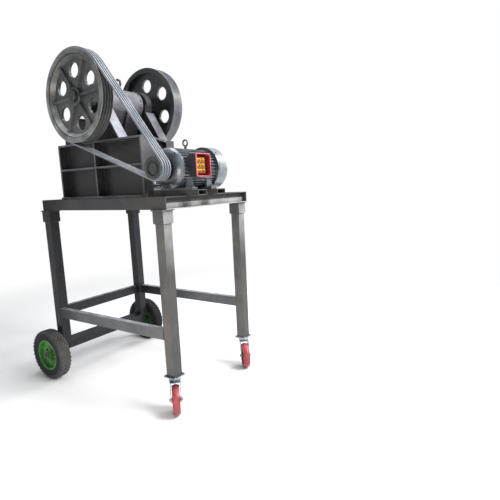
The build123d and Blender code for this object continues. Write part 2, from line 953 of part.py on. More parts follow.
with BuildPart() as toggle_block:
    block_middle = deck_top + toggle_z + toggle_rise
    box_at(
        (stand_x + block_front, chamber_low, block_middle - toggle_block_height / 2),
        (rear_low, chamber_high, block_middle + toggle_block_height / 2),
    )
save(toggle_block, "toggle_block")

# Tension rod from the pitman's foot out through the rear wall, with its spring and nut
rod_z = deck_top + rod_height
rod_start_x = stand_x + toggle_front_x
rod_stop = stand_x + rod_end_x
washer_x = rear_low + rear_wall_thickness + spring_length
with BuildPart() as tension_rod:
    with BuildSketch(Plane(origin=(rod_start_x, body_y, rod_z), x_dir=(0, 1, 0), z_dir=(1, 0, 0))):
        Circle(rod_diameter / 2)
    extrude(amount=rod_stop - rod_start_x)
    with BuildSketch(Plane(origin=(washer_x, body_y, rod_z), x_dir=(0, 1, 0), z_dir=(1, 0, 0))):
        Circle(spring_radius + spring_wire)
    extrude(amount=rod_washer_thickness)
    nut_x = washer_x + rod_washer_thickness
    with BuildSketch(Plane(origin=(nut_x, body_y, rod_z), x_dir=(0, 1, 0), z_dir=(1, 0, 0))):
        RegularPolygon(rod_diameter * nut_share, nut_sides)
    extrude(amount=rod_diameter * nut_height_share)
save(tension_rod, "tension_rod")

spring_seat = spring_wire / 2 + spring_gap
coil_height = spring_length - 2 * spring_seat
with BuildPart() as tension_spring:
    spring_path = Helix(
        pitch=coil_height / spring_turns,
        height=coil_height,
        radius=spring_radius,
        center=(rear_low + rear_wall_thickness + spring_seat, body_y, rod_z),
        direction=(1, 0, 0),
    )
    with BuildSketch(Plane(origin=spring_path @ 0, z_dir=spring_path % 0)):
        Circle(spring_wire / 2)
    sweep(path=spring_path)
save(tension_spring, "tension_spring")

# Bearing housings bolted on the side plates' seats
def bearing_housing(label, side):
    inner = body_y + side * (plate_offset + side_plate_thickness)
    start = min(inner, inner + side * bearing_width)
    with BuildPart() as housing:
        with BuildSketch(y_plane(shaft_xx, start, shaft_z)):
            Circle(bearing_radius)
            Circle(shaft_bore, mode=Mode.SUBTRACT)
        extrude(amount=bearing_width)
        chamfer(housing.edges().filter_by(GeomType.CIRCLE).sort_by(SortBy.RADIUS)[-2:], bearing_chamfer)
    save(housing, f"bearing_{label}")


for label, side in (("near", -1), ("far", 1)):
    bearing_housing(label, side)

# Shaft: journal through the pitman and bearings, stepped down to both wheels
journal_half = plate_offset + side_plate_thickness + bearing_width + journal_shoulder
shaft_low = sheave_front - shaft_end_reach
shaft_high = flywheel_front + flywheel_width + shaft_end_reach
with BuildPart() as eccentric_shaft:
    with BuildSketch(y_plane(shaft_xx, shaft_low, shaft_z)):
        Circle(shaft_diameter / 2)
    extrude(amount=shaft_high - shaft_low)
    with BuildSketch(y_plane(shaft_xx, body_y - journal_half, shaft_z)):
        Circle(shaft_journal_diameter / 2)
    extrude(amount=2 * journal_half)
    chamfer(eccentric_shaft.edges().filter_by(GeomType.CIRCLE).group_by(Axis.Y)[0], shaft_end_chamfer)
    chamfer(eccentric_shaft.edges().filter_by(GeomType.CIRCLE).group_by(Axis.Y)[-1], shaft_end_chamfer)
save(eccentric_shaft, "eccentric_shaft")

groove_top = belt_top_width / 2 + belt_clearance + belt_sink * math.tan(math.radians(groove_half_angle))
groove_depth = belt_sink + belt_height + groove_bottom_gap
groove_bottom = groove_top - groove_depth * math.tan(math.radians(groove_half_angle))
belt_first = sheave_front + sheave_width / 2 - (belt_count - 1) * belt_pitch / 2
belt_places = [belt_first + index * belt_pitch for index in range(belt_count)]


def groove_points(radius, places, origin_y):
    """Points along a grooved rim's outside, as radius and distance across."""
    points = []
    for place in places:
        middle = place - origin_y
        points += [
            (radius, middle - groove_top),
            (radius - groove_depth, middle - groove_bottom),
            (radius - groove_depth, middle + groove_bottom),
            (radius, middle + groove_top),
        ]
    return points


def big_wheel(front, width, grooves, hole_angle, hub_front, hub_rear, ribs):
    """A wheel on the shaft: rim, web with round holes and hub; the belt wheel is also ribbed."""
    radius = wheel_diameter / 2
    rim_inner = radius - wheel_rim_thickness
    web_low = width / 2 - wheel_web_thickness / 2
    web_high = width / 2 + wheel_web_thickness / 2
    bore = shaft_diameter / 2
    section = Plane(origin=(shaft_xx, front, shaft_z), x_dir=(1, 0, 0), z_dir=(0, 0, 1))
    outside = groove_points(radius, belt_places, front) if grooves else []
    with BuildPart() as wheel:
        with BuildSketch(section):
            with BuildLine():
                Polyline(
                    (bore, hub_front),
                    (wheel_hub_radius - hub_chamfer, hub_front),
                    (wheel_hub_radius, hub_front + hub_chamfer),
                    (wheel_hub_radius, web_low),
                    (rim_inner - web_root, web_low),
                    (rim_inner, web_low - web_root),
                    (rim_inner + rim_taper, 0),
                    (radius - rim_edge, 0),
                    (radius, rim_edge),
                    *outside,
                    (radius, width - rim_edge),
                    (radius - rim_edge, width),
                    (rim_inner + rim_taper, width),
                    (rim_inner, web_high + web_root),
                    (rim_inner - web_root, web_high),
                    (wheel_hub_radius, web_high),
                    (wheel_hub_radius, hub_rear),
                    (bore, hub_rear),
                    close=True,
                )
            make_face()
        revolve(axis=Axis((shaft_xx, front, shaft_z), (0, 1, 0)))
        face = Plane(origin=(shaft_xx, front + web_low, shaft_z), x_dir=(1, 0, 0), z_dir=(0, -1, 0))
        with BuildSketch(face):
            with PolarLocations(wheel_hole_circle / 2, wheel_hole_count, start_angle=hole_angle):
                Circle(wheel_hole_diameter / 2)
        extrude(amount=-wheel_web_thickness, mode=Mode.SUBTRACT)
        if ribs:
            rib_start = wheel_hub_radius - web_root
            rib_length = rim_inner - rib_start + 2
            half_step = 180 / wheel_hole_count
            with BuildSketch(face):
                with PolarLocations(
                    rib_start + rib_length / 2, wheel_hole_count, start_angle=hole_angle + half_step
                ):
                    Rectangle(rib_length, sheave_rib_width)
            extrude(amount=sheave_rib_height)
    return wheel


near_journal = body_y - journal_half
far_journal = body_y + journal_half
sheave = big_wheel(
    sheave_front,
    sheave_width,
    True,
    sheave_hole_angle,
    hub_recess,
    near_journal - sheave_front,
    True,
)
save(sheave, "sheave")
flywheel = big_wheel(
    flywheel_front,
    flywheel_width,
    False,
    flywheel_hole_angle,
    far_journal - flywheel_front,
    flywheel_width - hub_recess,
    False,
)
save(flywheel, "flywheel")

# Motor pulley with the same grooves
pulley_radius = pulley_diameter / 2
pulley_origin = Plane(origin=(motor_xx, sheave_front, motor_z), x_dir=(1, 0, 0), z_dir=(0, 0, 1))
with BuildPart() as motor_pulley:
    with BuildSketch(pulley_origin):
        with BuildLine():
            Polyline(
                (motor_shaft_diameter / 2, pulley_recess),
                (motor_shaft_diameter / 2 + pulley_hub_wall, pulley_recess),
                (motor_shaft_diameter / 2 + pulley_hub_wall, pulley_dish),
                (pulley_radius - pulley_rim_inner, pulley_dish),
                (pulley_radius - pulley_rim_face, 0),
                (pulley_radius - pulley_edge, 0),
                (pulley_radius, pulley_edge),
                *groove_points(pulley_radius, belt_places, sheave_front),
                (pulley_radius, sheave_width - pulley_edge),
                (pulley_radius - pulley_edge, sheave_width),
                (motor_shaft_diameter / 2, sheave_width),
                close=True,
            )
        make_face()
    revolve(axis=Axis((motor_xx, sheave_front, motor_z), (0, 1, 0)))
save(motor_pulley, "motor_pulley")

# Drive belts: four loops seated just clear of the grooves
belt_outer_small = pulley_radius - belt_sink
belt_outer_big = wheel_diameter / 2 - belt_sink
span_x = motor_xx - shaft_xx
span_z = motor_z - shaft_z
span = math.hypot(span_x, span_z)
span_angle = math.atan2(span_z, span_x)
lean = math.acos((belt_outer_big - belt_outer_small) / span)


def belt_path(big, small, y):
    """Closed centre line of a belt's back round both wheels, in the plane at y."""
    points = []
    for sign in (1, -1):
        cosine = math.cos(span_angle + sign * lean)
        sine = math.sin(span_angle + sign * lean)
        points.append((shaft_xx + big * cosine, shaft_z + big * sine))
        points.append((motor_xx + small * cosine, motor_z + small * sine))
    big_back = (shaft_xx - big * math.cos(span_angle), shaft_z - big * math.sin(span_angle))
    small_front = (motor_xx + small * math.cos(span_angle), motor_z + small * math.sin(span_angle))
    big_top, small_top, big_low, small_low = points
    with BuildLine(Plane(origin=(0, y, 0), x_dir=(1, 0, 0), z_dir=(0, -1, 0))) as path:
        Line(big_top, small_top)
        ThreePointArc(small_top, small_front, small_low)
        Line(small_low, big_low)
        ThreePointArc(big_low, big_back, big_top)
    return path.wire()


belt_bottom_width = belt_top_width - 2 * belt_height * math.tan(math.radians(groove_half_angle))
with BuildPart() as drive_belts:
    for place in belt_places:
        loop = belt_path(belt_outer_big, belt_outer_small, place)
        with BuildSketch(Plane(origin=loop @ 0, x_dir=(0, 1, 0), z_dir=loop % 0)):
            with BuildLine():
                Polyline(
                    (-belt_top_width / 2, 0),
                    (belt_top_width / 2, 0),
                    (belt_bottom_width / 2, belt_height),
                    (-belt_bottom_width / 2, belt_height),
                    close=True,
                )
            make_face()
        sweep(path=loop)
save(drive_belts, "drive_belts")

# Motor: finned stator with its feet and the saddle of the terminal box
stator_front = motor_front + shield_thickness
cover_front = motor_rear - fan_cover_length
stator_rear = cover_front - rear_shield_thickness
stator_length = stator_rear - stator_front
stator_bore = motor_shaft_diameter / 2 + stator_shaft_gap
foot_height = motor_height - slide_rail_height
saddle_reach = box_reach - box_depth
with BuildPart() as motor_frame:
    with BuildSketch(y_plane(motor_xx, stator_front, motor_z)):
        Circle(stator_radius)
        with PolarLocations(stator_radius + fin_height / 2 - 1, fin_count):
            Rectangle(fin_height + 2, fin_thickness)
        Circle(stator_bore, mode=Mode.SUBTRACT)
    extrude(amount=stator_length)
    for place in (feet_front, feet_front + feet_spacing):
        box_at(
            (motor_xx - foot_reach, place - foot_width / 2, motor_z - foot_height),
            (motor_xx + foot_reach, place + foot_width / 2, motor_z - foot_height + foot_thickness),
        )
        for side in (-1, 1):
            web_low, web_high = sorted((side * foot_web_inner, side * foot_web_outer))
            box_at(
                (motor_xx + web_low, place - foot_width / 2, motor_z - foot_height + foot_thickness),
                (motor_xx + web_high, place + foot_width / 2, motor_z - stator_radius * foot_web_share),
            )
    box_at(
        (
            motor_xx + stator_radius * saddle_start_share,
            box_y - box_width * saddle_share,
            box_z - box_height * saddle_share,
        ),
        (motor_xx + saddle_reach, box_y + box_width * saddle_share, box_z + box_height * saddle_share),
    )
save(motor_frame, "motor_frame")


# End shields: a domed one with its bearing boss in front, a flat one under the fan cover
shield_bore = motor_shaft_diameter / 2 + running_clearance
shield_radius = shield_diameter / 2
dome_rise = shield_thickness - shield_band
dome_spread = shield_radius - shield_boss_radius
dome_middle = (
    shield_boss_radius + dome_spread * shield_arc_share,
    dome_rise * (1 - shield_arc_share),
)
with BuildPart() as motor_shields:
    with BuildSketch(Plane(origin=(motor_xx, motor_front, motor_z), x_dir=(1, 0, 0), z_dir=(0, 0, 1))):
        with BuildLine():
            Polyline(
                (shield_boss_radius, 0),
                (shield_boss_radius, -shield_boss_reach),
                (shield_bore, -shield_boss_reach),
                (shield_bore, shield_thickness),
                (shield_radius, shield_thickness),
                (shield_radius, dome_rise),
            )
            ThreePointArc((shield_radius, dome_rise), dome_middle, (shield_boss_radius, 0))
        make_face()
    revolve(axis=Axis((motor_xx, motor_front, motor_z), (0, 1, 0)))
    with BuildSketch(y_plane(motor_xx, stator_rear, motor_z)):
        Circle(fan_cover_radius)
        Circle(shield_bore, mode=Mode.SUBTRACT)
    extrude(amount=rear_shield_thickness)
save(motor_shields, "motor_shields")

# Fan cover: pressed cowl with a slotted back
with BuildPart() as fan_cover:
    with BuildSketch(y_plane(motor_xx, cover_front, motor_z)):
        Circle(fan_cover_radius)
    extrude(amount=fan_cover_length)
    fillet(fan_cover.edges().filter_by(GeomType.CIRCLE).group_by(Axis.Y)[-1], cover_round)
    offset(amount=-cover_wall, openings=fan_cover.faces().sort_by(Axis.Y)[0])
    slot_length = fan_cover_radius * cover_slot_share
    with BuildSketch(y_plane(motor_xx, motor_rear - 2 * cover_wall, motor_z)):
        with PolarLocations(fan_cover_radius * cover_slot_place, cover_slot_count):
            SlotOverall(slot_length, cover_slot_width)
    extrude(amount=4 * cover_wall, mode=Mode.SUBTRACT)
save(fan_cover, "fan_cover")

# Rotor shaft and cooling fan
motor_shaft_low = sheave_front + pulley_recess
motor_shaft_high = cover_front + fan_place + fan_width
with BuildPart() as motor_shaft:
    with BuildSketch(y_plane(motor_xx, motor_shaft_low, motor_z)):
        Circle(motor_shaft_diameter / 2)
    extrude(amount=motor_shaft_high - motor_shaft_low)
save(motor_shaft, "motor_shaft")

with BuildPart() as motor_fan:
    with BuildSketch(y_plane(motor_xx, cover_front + fan_place, motor_z)):
        Circle(fan_radius)
        Circle(motor_shaft_diameter / 2, mode=Mode.SUBTRACT)
    extrude(amount=fan_disc)
    blade_length = fan_radius - motor_shaft_diameter
    with BuildSketch(y_plane(motor_xx, cover_front + fan_place + fan_disc, motor_z)):
        with PolarLocations(fan_radius - blade_length / 2, fan_blade_count):
            Rectangle(blade_length, fan_disc)
        Circle(motor_shaft_diameter / 2 + fan_hub_wall)
        Circle(motor_shaft_diameter / 2, mode=Mode.SUBTRACT)
    extrude(amount=fan_width - fan_disc)
save(motor_fan, "motor_fan")

# Terminal box: an open tray on the motor's side, its lid taken off
tray_back = motor_xx + saddle_reach
tray_front = motor_xx + box_reach
with BuildPart() as terminal_box:
    with BuildSketch(Plane(origin=(tray_back, box_y, box_z), x_dir=(0, 1, 0), z_dir=(1, 0, 0))):
        RectangleRounded(box_width, box_height, box_corner)
    extrude(amount=box_depth)
    with BuildSketch(Plane(origin=(tray_back + box_floor, box_y, box_z), x_dir=(0, 1, 0), z_dir=(1, 0, 0))):
        RectangleRounded(box_width - 2 * box_wall, box_height - 2 * box_wall, box_corner - box_wall / 2)
    extrude(amount=box_depth, mode=Mode.SUBTRACT)
save(terminal_box, "terminal_box")

with BuildPart() as terminal_block:
    floor = Plane(origin=(tray_back + box_floor, box_y, box_z), x_dir=(0, 1, 0), z_dir=(1, 0, 0))
    with BuildSketch(floor):
        RectangleRounded(terminal_width, terminal_height, terminal_corner)
    extrude(amount=terminal_base)
    with BuildSketch(floor.offset(terminal_base)):
        with GridLocations(
            terminal_spacing, terminal_spacing * terminal_row_share, terminal_columns, terminal_rows
        ):
            Circle(terminal_stud_radius)
    extrude(amount=terminal_stud_length)
save(terminal_block, "terminal_block")

# Slide rails under the motor's feet, open at their ends
slide_rail_start = stand_x + foot_rear + slide_rail_gap
with BuildPart() as slide_rails:
    for place in (feet_front, feet_front + feet_spacing):
        start = Plane(
            origin=(slide_rail_start, place, deck_top + slide_rail_height / 2),
            x_dir=(0, 1, 0),
            z_dir=(1, 0, 0),
        )
        with BuildSketch(start):
            Rectangle(slide_rail_width, slide_rail_height)
            Rectangle(
                slide_rail_width - 2 * slide_rail_wall,
                slide_rail_height - 2 * slide_rail_wall,
                mode=Mode.SUBTRACT,
            )
        extrude(amount=slide_rail_length)
save(slide_rails, "slide_rails")


def lifting_eye(x, y, seat_z, ring_radius, wire_radius, collar):
    """Ring on a collar, standing on the top of what it lifts."""
    with BuildPart() as eye:
        with BuildSketch(Plane.XY.offset(seat_z)):
            with Locations((x, y)):
                Circle(wire_radius * eye_collar_share)
        extrude(amount=collar)
        with BuildSketch(Plane.XY.offset(seat_z + collar + ring_radius)):
            with Locations((x + ring_radius, y)):
                Circle(wire_radius)
        revolve(axis=Axis((x, y, seat_z + collar + ring_radius), (0, 1, 0)))
    return eye


pitman_eye = lifting_eye(shaft_xx, body_y, shaft_z + barrel_radius, eye_ring, eye_wire, eye_collar)
save(pitman_eye, "pitman_eye")
motor_eye = lifting_eye(
    motor_xx,
    motor_eye_y,
    motor_z + stator_radius + fin_height,
    motor_eye_ring,
    motor_eye_wire,
    motor_eye_collar,
)
save(motor_eye, "motor_eye")
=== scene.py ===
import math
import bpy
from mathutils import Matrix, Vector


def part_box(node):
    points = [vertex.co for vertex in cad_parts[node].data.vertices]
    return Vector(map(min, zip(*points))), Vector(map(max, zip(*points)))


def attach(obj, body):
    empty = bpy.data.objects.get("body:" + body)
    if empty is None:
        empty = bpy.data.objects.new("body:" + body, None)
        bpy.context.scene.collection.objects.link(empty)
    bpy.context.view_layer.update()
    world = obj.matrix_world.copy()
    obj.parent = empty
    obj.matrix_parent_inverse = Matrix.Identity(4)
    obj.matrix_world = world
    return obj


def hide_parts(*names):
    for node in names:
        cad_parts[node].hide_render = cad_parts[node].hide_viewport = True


bl_info = {
    "name": "Jaw crusher dressing",
    "version": (1, 0, 0),
    "blender": (4, 5, 0),
    "location": "View3D > Sidebar > Jaw crusher",
    "description": "Finishes, tyres, wheels, bolts, welds and stage of a belt-driven jaw crusher",
    "category": "Object",
}

import bpy
from bpy.props import FloatProperty, FloatVectorProperty, IntProperty, PointerProperty
from bpy.types import NodeSocket, Operator, Panel, PropertyGroup, Scene
from mathutils import Matrix, Vector

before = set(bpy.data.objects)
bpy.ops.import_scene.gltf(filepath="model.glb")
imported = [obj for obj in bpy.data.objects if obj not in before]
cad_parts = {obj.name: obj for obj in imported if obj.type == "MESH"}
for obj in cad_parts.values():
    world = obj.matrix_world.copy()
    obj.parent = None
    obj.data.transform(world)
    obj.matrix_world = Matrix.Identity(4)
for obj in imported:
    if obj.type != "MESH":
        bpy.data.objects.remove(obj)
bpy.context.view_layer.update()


def middle(node_name):
    """Centre of a node's box."""
    low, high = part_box(node_name)
    return (low + high) / 2


def outer_y(node_name, side):
    """Y of a node's outer face on one side."""
    low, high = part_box(node_name)
    return high.y if side.y > 0 else low.y


NEAR = Vector((0, -1, 0))
FAR = Vector((0, 1, 0))
REAR = Vector((1, 0, 0))
UP = Vector((0, 0, 1))
SIDES = (("near", NEAR), ("far", FAR))
SHAFT = middle("sheave")
MOTOR = middle("motor_pulley")
BODY_Y = middle("pitman").y
BARREL_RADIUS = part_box("pitman")[1].z - SHAFT.z
WHEEL_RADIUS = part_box("sheave")[1].z - SHAFT.z
WHEEL_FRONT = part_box("sheave")[0].y
# Sizes of the CAD's pieces in metres, as its solids have them.
FOOT_LINES = (-0.206, -0.004)
FOOT_THICKNESS = 0.016
ANCHOR_FOOT_THICKNESS = 0.014
CASTOR_PLATE = 0.105
CASTOR_TURN = -46.0
FORK_HALF_WIDTH = 0.0362
LEG_SIZE = 0.075
RAIL_SIZE = 0.04
FOOT_DEPTH = 0.088
FOOT_OVERHANG = 0.043
RIB_WIDTH = 0.014
MID_RIB = 0.22
PANEL_RIB = 0.431
BODY_TOP = 0.422
SHIELD_RADIUS = 0.133
# A face looks along an axis when its normal's part along it is more than this.
STRAIGHT = 0.9
# Edges that turn by more than this stay sharp.
SHARP_ANGLE = math.radians(35)
# Rays that a shader sends out to find edges and corners.
SHADER_SAMPLES = 6
STONE_DUST = (0.3, 0.29, 0.27)
GROUPS = {}
FINISHES = {}


def paint(name, description, default):
    """Property of a colour."""
    return FloatVectorProperty(name=name, description=description, subtype="COLOR", size=3, default=default)


def length(name, description, default):
    """Property of a length."""
    return FloatProperty(name=name, description=description, unit="LENGTH", default=default)


def angle(name, description, degrees):
    """Property of an angle."""
    return FloatProperty(name=name, description=description, subtype="ANGLE", default=math.radians(degrees))


class FinishSizes(PropertyGroup):
    """Colours of the machine's finishes."""

    stand_paint: paint("Stand paint", "Satin dark grey of the stand", (0.06, 0.06, 0.06))
    # Painted light: the rails' paler grey is a lit copy of the stand's paint.
    rail_paint: paint("Rail paint", "Paler grey of the lower rails", (0.132, 0.138, 0.145))
    # Painted shade: this darker grey is laid where the stand's feed end and far side lie in shade.
    feed_end_shade_paint: paint("Dark paint", "Darker grey of the stand's feed end", (0.014, 0.015, 0.018))
    crusher_paint: paint("Crusher paint", "Charcoal of the crusher's body", (0.026, 0.026, 0.028))
    wheel_paint: paint("Belt wheel paint", "Worn grey of the cast belt wheel", (0.07, 0.075, 0.077))
    # Painted shade: the flywheel's darker grey is a shaded copy of the belt wheel's paint.
    flywheel_paint: paint("Flywheel paint", "Dark grey of the flywheel", (0.027, 0.031, 0.034))
    pitman_paint: paint("Pitman paint", "Mid grey of the pitman's barrel", (0.115, 0.12, 0.135))
    motor_paint: paint("Motor paint", "Blue grey of the motor's frame", (0.075, 0.088, 0.1))
    shield_paint: paint("Shield paint", "Dark grey of the motor's end shields", (0.02, 0.024, 0.029))
    rim_paint: paint("Rim paint", "Green of the near pressed rim", (0.055, 0.225, 0.036))
    cover_paint: paint("Fan cover paint", "Grey of the motor's fan cover", (0.15, 0.17, 0.185))
    box_red: paint("Box red", "Red lining of the terminal box", (0.3, 0.018, 0.028))
    belt_colour: paint("Belt colour", "Dusty blue grey of the belts", (0.195, 0.212, 0.24))


class DetailSizes(PropertyGroup):
    """Sizes of the tyres' tread, the bolts and the welds."""

    lug_depth: length("Lug depth", "Height of a tread lug over the carcass", 0.0045)
    lug_steps: IntProperty(name="Lug steps", description="Cells of tread round a tyre", default=72)
    large_bolt: length("Large bolt", "Thread of the anchor bolts", 0.016)
    small_bolt: length("Small bolt", "Thread of the bearing, rim and motor bolts", 0.01)
    screw: length("Screw", "Thread of the fan cover's screws", 0.005)
    weld_width: length("Weld width", "Width of a weld bead", 0.007)
    weld_pitch: length("Weld pitch", "Distance between the ripples of a bead", 0.0045)


class CameraSizes(PropertyGroup):
    """Where the camera stands and how it looks."""

    place: FloatVectorProperty(
        name="Place", description="Camera position, measured from the middle of the stand on the floor",
        subtype="TRANSLATION", unit="LENGTH", size=3, default=(2.531, -2.395, 1.496),
    )
    heading: angle("Heading", "Turn of the view from +Y towards -X", 33.132)
    pitch: angle("Pitch", "Tilt of the view, negative when it looks down", -8.734)
    roll: angle("Roll", "Turn of the view about its own axis", -2.465)
    lens: FloatProperty(name="Lens", description="Focal length for a sensor 36 mm wide", default=30.64)


def clear_selection():
    """Leave nothing selected."""
    bpy.ops.object.select_all(action="DESELECT")


def only(thing):
    """Make one object the active and only selected one."""
    clear_selection()
    thing.select_set(True)
    bpy.context.view_layer.objects.active = thing
    return thing


def switch_mode(mode):
    """Go to edit mode or back to object mode."""
    bpy.ops.object.mode_set(mode=mode)


def inset(thickness, depth=0.0, **settings):
    """Inset the selected faces."""
    bpy.ops.mesh.inset(thickness=thickness, depth=depth, **settings)


def select_parts(thing, passes, kind="FACE"):
    """Select the faces or edges that pass a test, in edit mode."""
    only(thing)
    switch_mode("EDIT")
    bpy.ops.mesh.select_mode(type=kind)
    bpy.ops.mesh.select_all(action="DESELECT")
    switch_mode("OBJECT")
    for part in thing.data.polygons if kind == "FACE" else thing.data.edges:
        part.select = passes(part)
    switch_mode("EDIT")


def looks_up(face):
    """Whether a face looks along +Z."""
    return face.normal.z > STRAIGHT


def looks_rearward(face):
    """Whether a face looks along +X."""
    return face.normal.x > STRAIGHT


def leave_edit():
    """Turn all faces outward and go back to object mode."""
    bpy.ops.mesh.select_all(action="SELECT")
    bpy.ops.mesh.normals_make_consistent(inside=False)
    switch_mode("OBJECT")


def apply_transforms():
    """Fix the place, turn and size of what is selected in its meshes."""
    bpy.ops.object.transform_apply(location=True, rotation=True, scale=True)


def soften(thing, width, segments=2):
    """Bevel a piece's sharp edges."""
    only(thing)
    edges = thing.modifiers.new("soft_edges", "BEVEL")
    edges.width = width
    edges.segments = segments
    edges.limit_method = "ANGLE"
    edges.angle_limit = SHARP_ANGLE
    bpy.ops.object.modifier_apply(modifier=edges.name)


def joined(things):
    """Fix some objects' places and join them into one."""
    clear_selection()
    for thing in things:
        thing.select_set(True)
    bpy.context.view_layer.objects.active = things[0]
    apply_transforms()
    if len(things) > 1:
        bpy.ops.object.join()
    return bpy.context.object


def standing(point, facing):
    """Matrix that moves the origin to a point and turns +Z to face a way."""
    turn = Vector(facing).to_track_quat("Z", "Y").to_matrix().to_4x4()
    return Matrix.Translation(Vector(point)) @ turn


def spoke(degrees):
    """Direction at an angle from +X, about a line along Y."""
    turn = math.radians(degrees)
    return Vector((math.cos(turn), 0, math.sin(turn)))


def ring(centre, radius, count, facing, start=0.0):
    """Places round an axis along Y, as points that all face one way."""
    return [(centre + radius * spoke(start + index * 360 / count), facing) for index in range(count)]


def radial(centre, radius, turns):
    """Places on a cylinder along Y, each facing outward."""
    return [(centre + radius * spoke(turn), spoke(turn)) for turn in turns]


def grid(xs, ys, zs, facing):
    """Places at every crossing of some X, Y and Z, all facing one way."""
    return [(Vector((x, y, z)), facing) for x in xs for y in ys for z in zs]


def cylinder(vertices, radius, depth, height=0.0):
    """A cylinder along Z with its middle at a height."""
    clear_selection()
    spot = (0, 0, height)
    bpy.ops.mesh.primitive_cylinder_add(vertices=vertices, radius=radius, depth=depth, location=spot)
    return bpy.context.object


def block(centre, size):
    """A block with its place and size fixed in its mesh."""
    clear_selection()
    bpy.ops.mesh.primitive_cube_add(size=1, location=centre)
    thing = bpy.context.object
    thing.scale = size
    apply_transforms()
    return thing


def rounded_block(low, high, radius):
    """A block between two corners, its edges along X rounded."""
    thing = block((low + high) / 2, high - low)
    along = [corner.co.x for corner in thing.data.vertices]
    select_parts(thing, lambda edge: along[edge.vertices[0]] != along[edge.vertices[1]], "EDGE")
    bpy.ops.mesh.bevel(offset=radius, segments=4, affect="EDGES")
    leave_edit()
    return thing


def revolved(outline, centre, steps):
    """Spin a closed outline of (radius, across) points about a line along Y."""
    weld_distance = 0.00002
    clear_selection()
    bpy.ops.mesh.primitive_plane_add(size=0.001, location=centre + Vector((*outline[0], 0)))
    piece = bpy.context.object
    apply_transforms()
    switch_mode("EDIT")
    bpy.ops.mesh.select_mode(type="VERT")
    bpy.ops.mesh.select_all(action="SELECT")
    bpy.ops.mesh.merge(type="CENTER")
    for here, there in zip(outline, outline[1:] + outline[:1]):
        step = (there[0] - here[0], there[1] - here[1], 0)
        bpy.ops.mesh.extrude_region_move(TRANSFORM_OT_translate={"value": step})
    bpy.ops.mesh.select_all(action="SELECT")
    bpy.ops.mesh.remove_doubles(threshold=weld_distance)
    bpy.ops.mesh.spin(steps=steps, angle=math.tau, center=centre, axis=(0, 1, 0))
    bpy.ops.mesh.select_all(action="SELECT")
    bpy.ops.mesh.remove_doubles(threshold=weld_distance)
    leave_edit()
    only(piece)
    bpy.ops.object.shade_smooth_by_angle(angle=SHARP_ANGLE)
    return piece


def hex_bolt(size):
    """A crowned hex head on its washer, seated at the origin and facing +Z."""
    washer = cylinder(20, 1.08 * size, 0.16 * size, 0.08 * size)
    soften(washer, 0.04 * size, 1)
    head = cylinder(6, 0.92 * size, 0.62 * size, 0.47 * size)
    select_parts(head, looks_up)
    inset(0.14 * size, 0.06 * size)
    inset(0.05 * size)
    leave_edit()
    soften(head, 0.03 * size, 1)
    return joined([washer, head])


def stud_nut(size):
    """A hex nut on its washer with the stud's end standing out, facing +Z."""
    bolt = hex_bolt(size)
    stud = cylinder(16, 0.5 * size, 0.5 * size, 1.05 * size)
    soften(stud, 0.08 * size, 1)
    return joined([bolt, stud])


def weld(start, end, width, pitch):
    """A rippled bead from one point to another."""
    run = Vector(end) - Vector(start)
    clear_selection()
    bpy.ops.mesh.primitive_uv_sphere_add(segments=8, ring_count=5, radius=width / 2)
    bead = bpy.context.object
    switch_mode("EDIT")
    bpy.ops.mesh.select_all(action="SELECT")
    bpy.ops.transform.resize(value=(1.0, 1.0, 0.75))
    switch_mode("OBJECT")
    ripples = bead.modifiers.new("ripples", "ARRAY")
    ripples.use_relative_offset = False
    ripples.use_constant_offset = True
    ripples.constant_offset_displace = (0, 0, pitch)
    ripples.count = max(2, int(run.length / pitch))
    bpy.ops.object.modifier_apply(modifier=ripples.name)
    bead.matrix_world = standing(start, run)
    return bead


def place_piece(thing, name, finish="dark_steel", slot="bright_steel", body="base", stands_for=()):
    """Name a piece, give it its finish, and let it ride on its body."""
    thing.name = name
    thing.data.name = name
    thing.data.materials.clear()
    thing.data.materials.append(FINISHES[finish])
    if stands_for:
        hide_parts(*stands_for)
    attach(thing, body)


def place_copies(template, places, *details, **more_details):
    """Make one piece of a template's copies, such as bolts; the template goes away."""
    made = []
    for point, facing in places:
        twin = template.copy()
        twin.data = template.data.copy()
        bpy.context.collection.objects.link(twin)
        twin.matrix_world = standing(point, facing)
        made.append(twin)
    bpy.data.objects.remove(template)
    place_piece(joined(made), *details, **more_details)


def place_welds(runs, pitch, name, finish, slot):
    """Make one piece of weld beads, each run with its ends and width."""
    beads = [weld(start, end, width, pitch) for start, end, width in runs]
    place_piece(joined(beads), name, finish, slot)


def feed(target, inputs):
    """Link a node's inputs to sockets, or set them to values."""
    for key, value in inputs.items():
        if isinstance(value, NodeSocket):
            target.id_data.links.new(value, target.inputs[key])
        else:
            target.inputs[key].default_value = value


def node(tree, kind, inputs, output=0, **settings):
    """One output of a new shader node."""
    made = tree.nodes.new(f"ShaderNode{kind}")
    for key, value in settings.items():
        setattr(made, key, value)
    feed(made, inputs)
    return made.outputs[output]


def new_group(name, inputs, outputs=("Mask",)):
    """A shader node group with named sockets, and the sockets that bring its inputs."""
    group = bpy.data.node_groups.new(name, "ShaderNodeTree")
    for label, way in [(label, "INPUT") for label in inputs] + [(label, "OUTPUT") for label in outputs]:
        kind = "NodeSocketColor" if "Colour" in label else "NodeSocketFloat"
        socket = group.interface.new_socket(label, in_out=way, socket_type=kind)
        if way == "INPUT":
            socket.default_value = inputs[label]
    return group, group.nodes.new("NodeGroupInput").outputs[: len(inputs)]


def close_group(*results):
    """Bring a group's results out and keep it under its name."""
    group = results[0].id_data
    feed(group.nodes.new("NodeGroupOutput"), dict(enumerate(results)))
    GROUPS[group.name] = group


def placed(tree, group, values, output="Mask"):
    """One output of a node group with its own values."""
    return node(tree, "Group", values, output, node_tree=GROUPS[group])


def maths(operation, first, second=0.5, clamp=False):
    """Result of a math node beside its first socket."""
    return node(first.id_data, "Math", {0: first, 1: second}, operation=operation, use_clamp=clamp)


def product(first, *others):
    """Product of some values."""
    for other in others:
        first = maths("MULTIPLY", first, other)
    return first


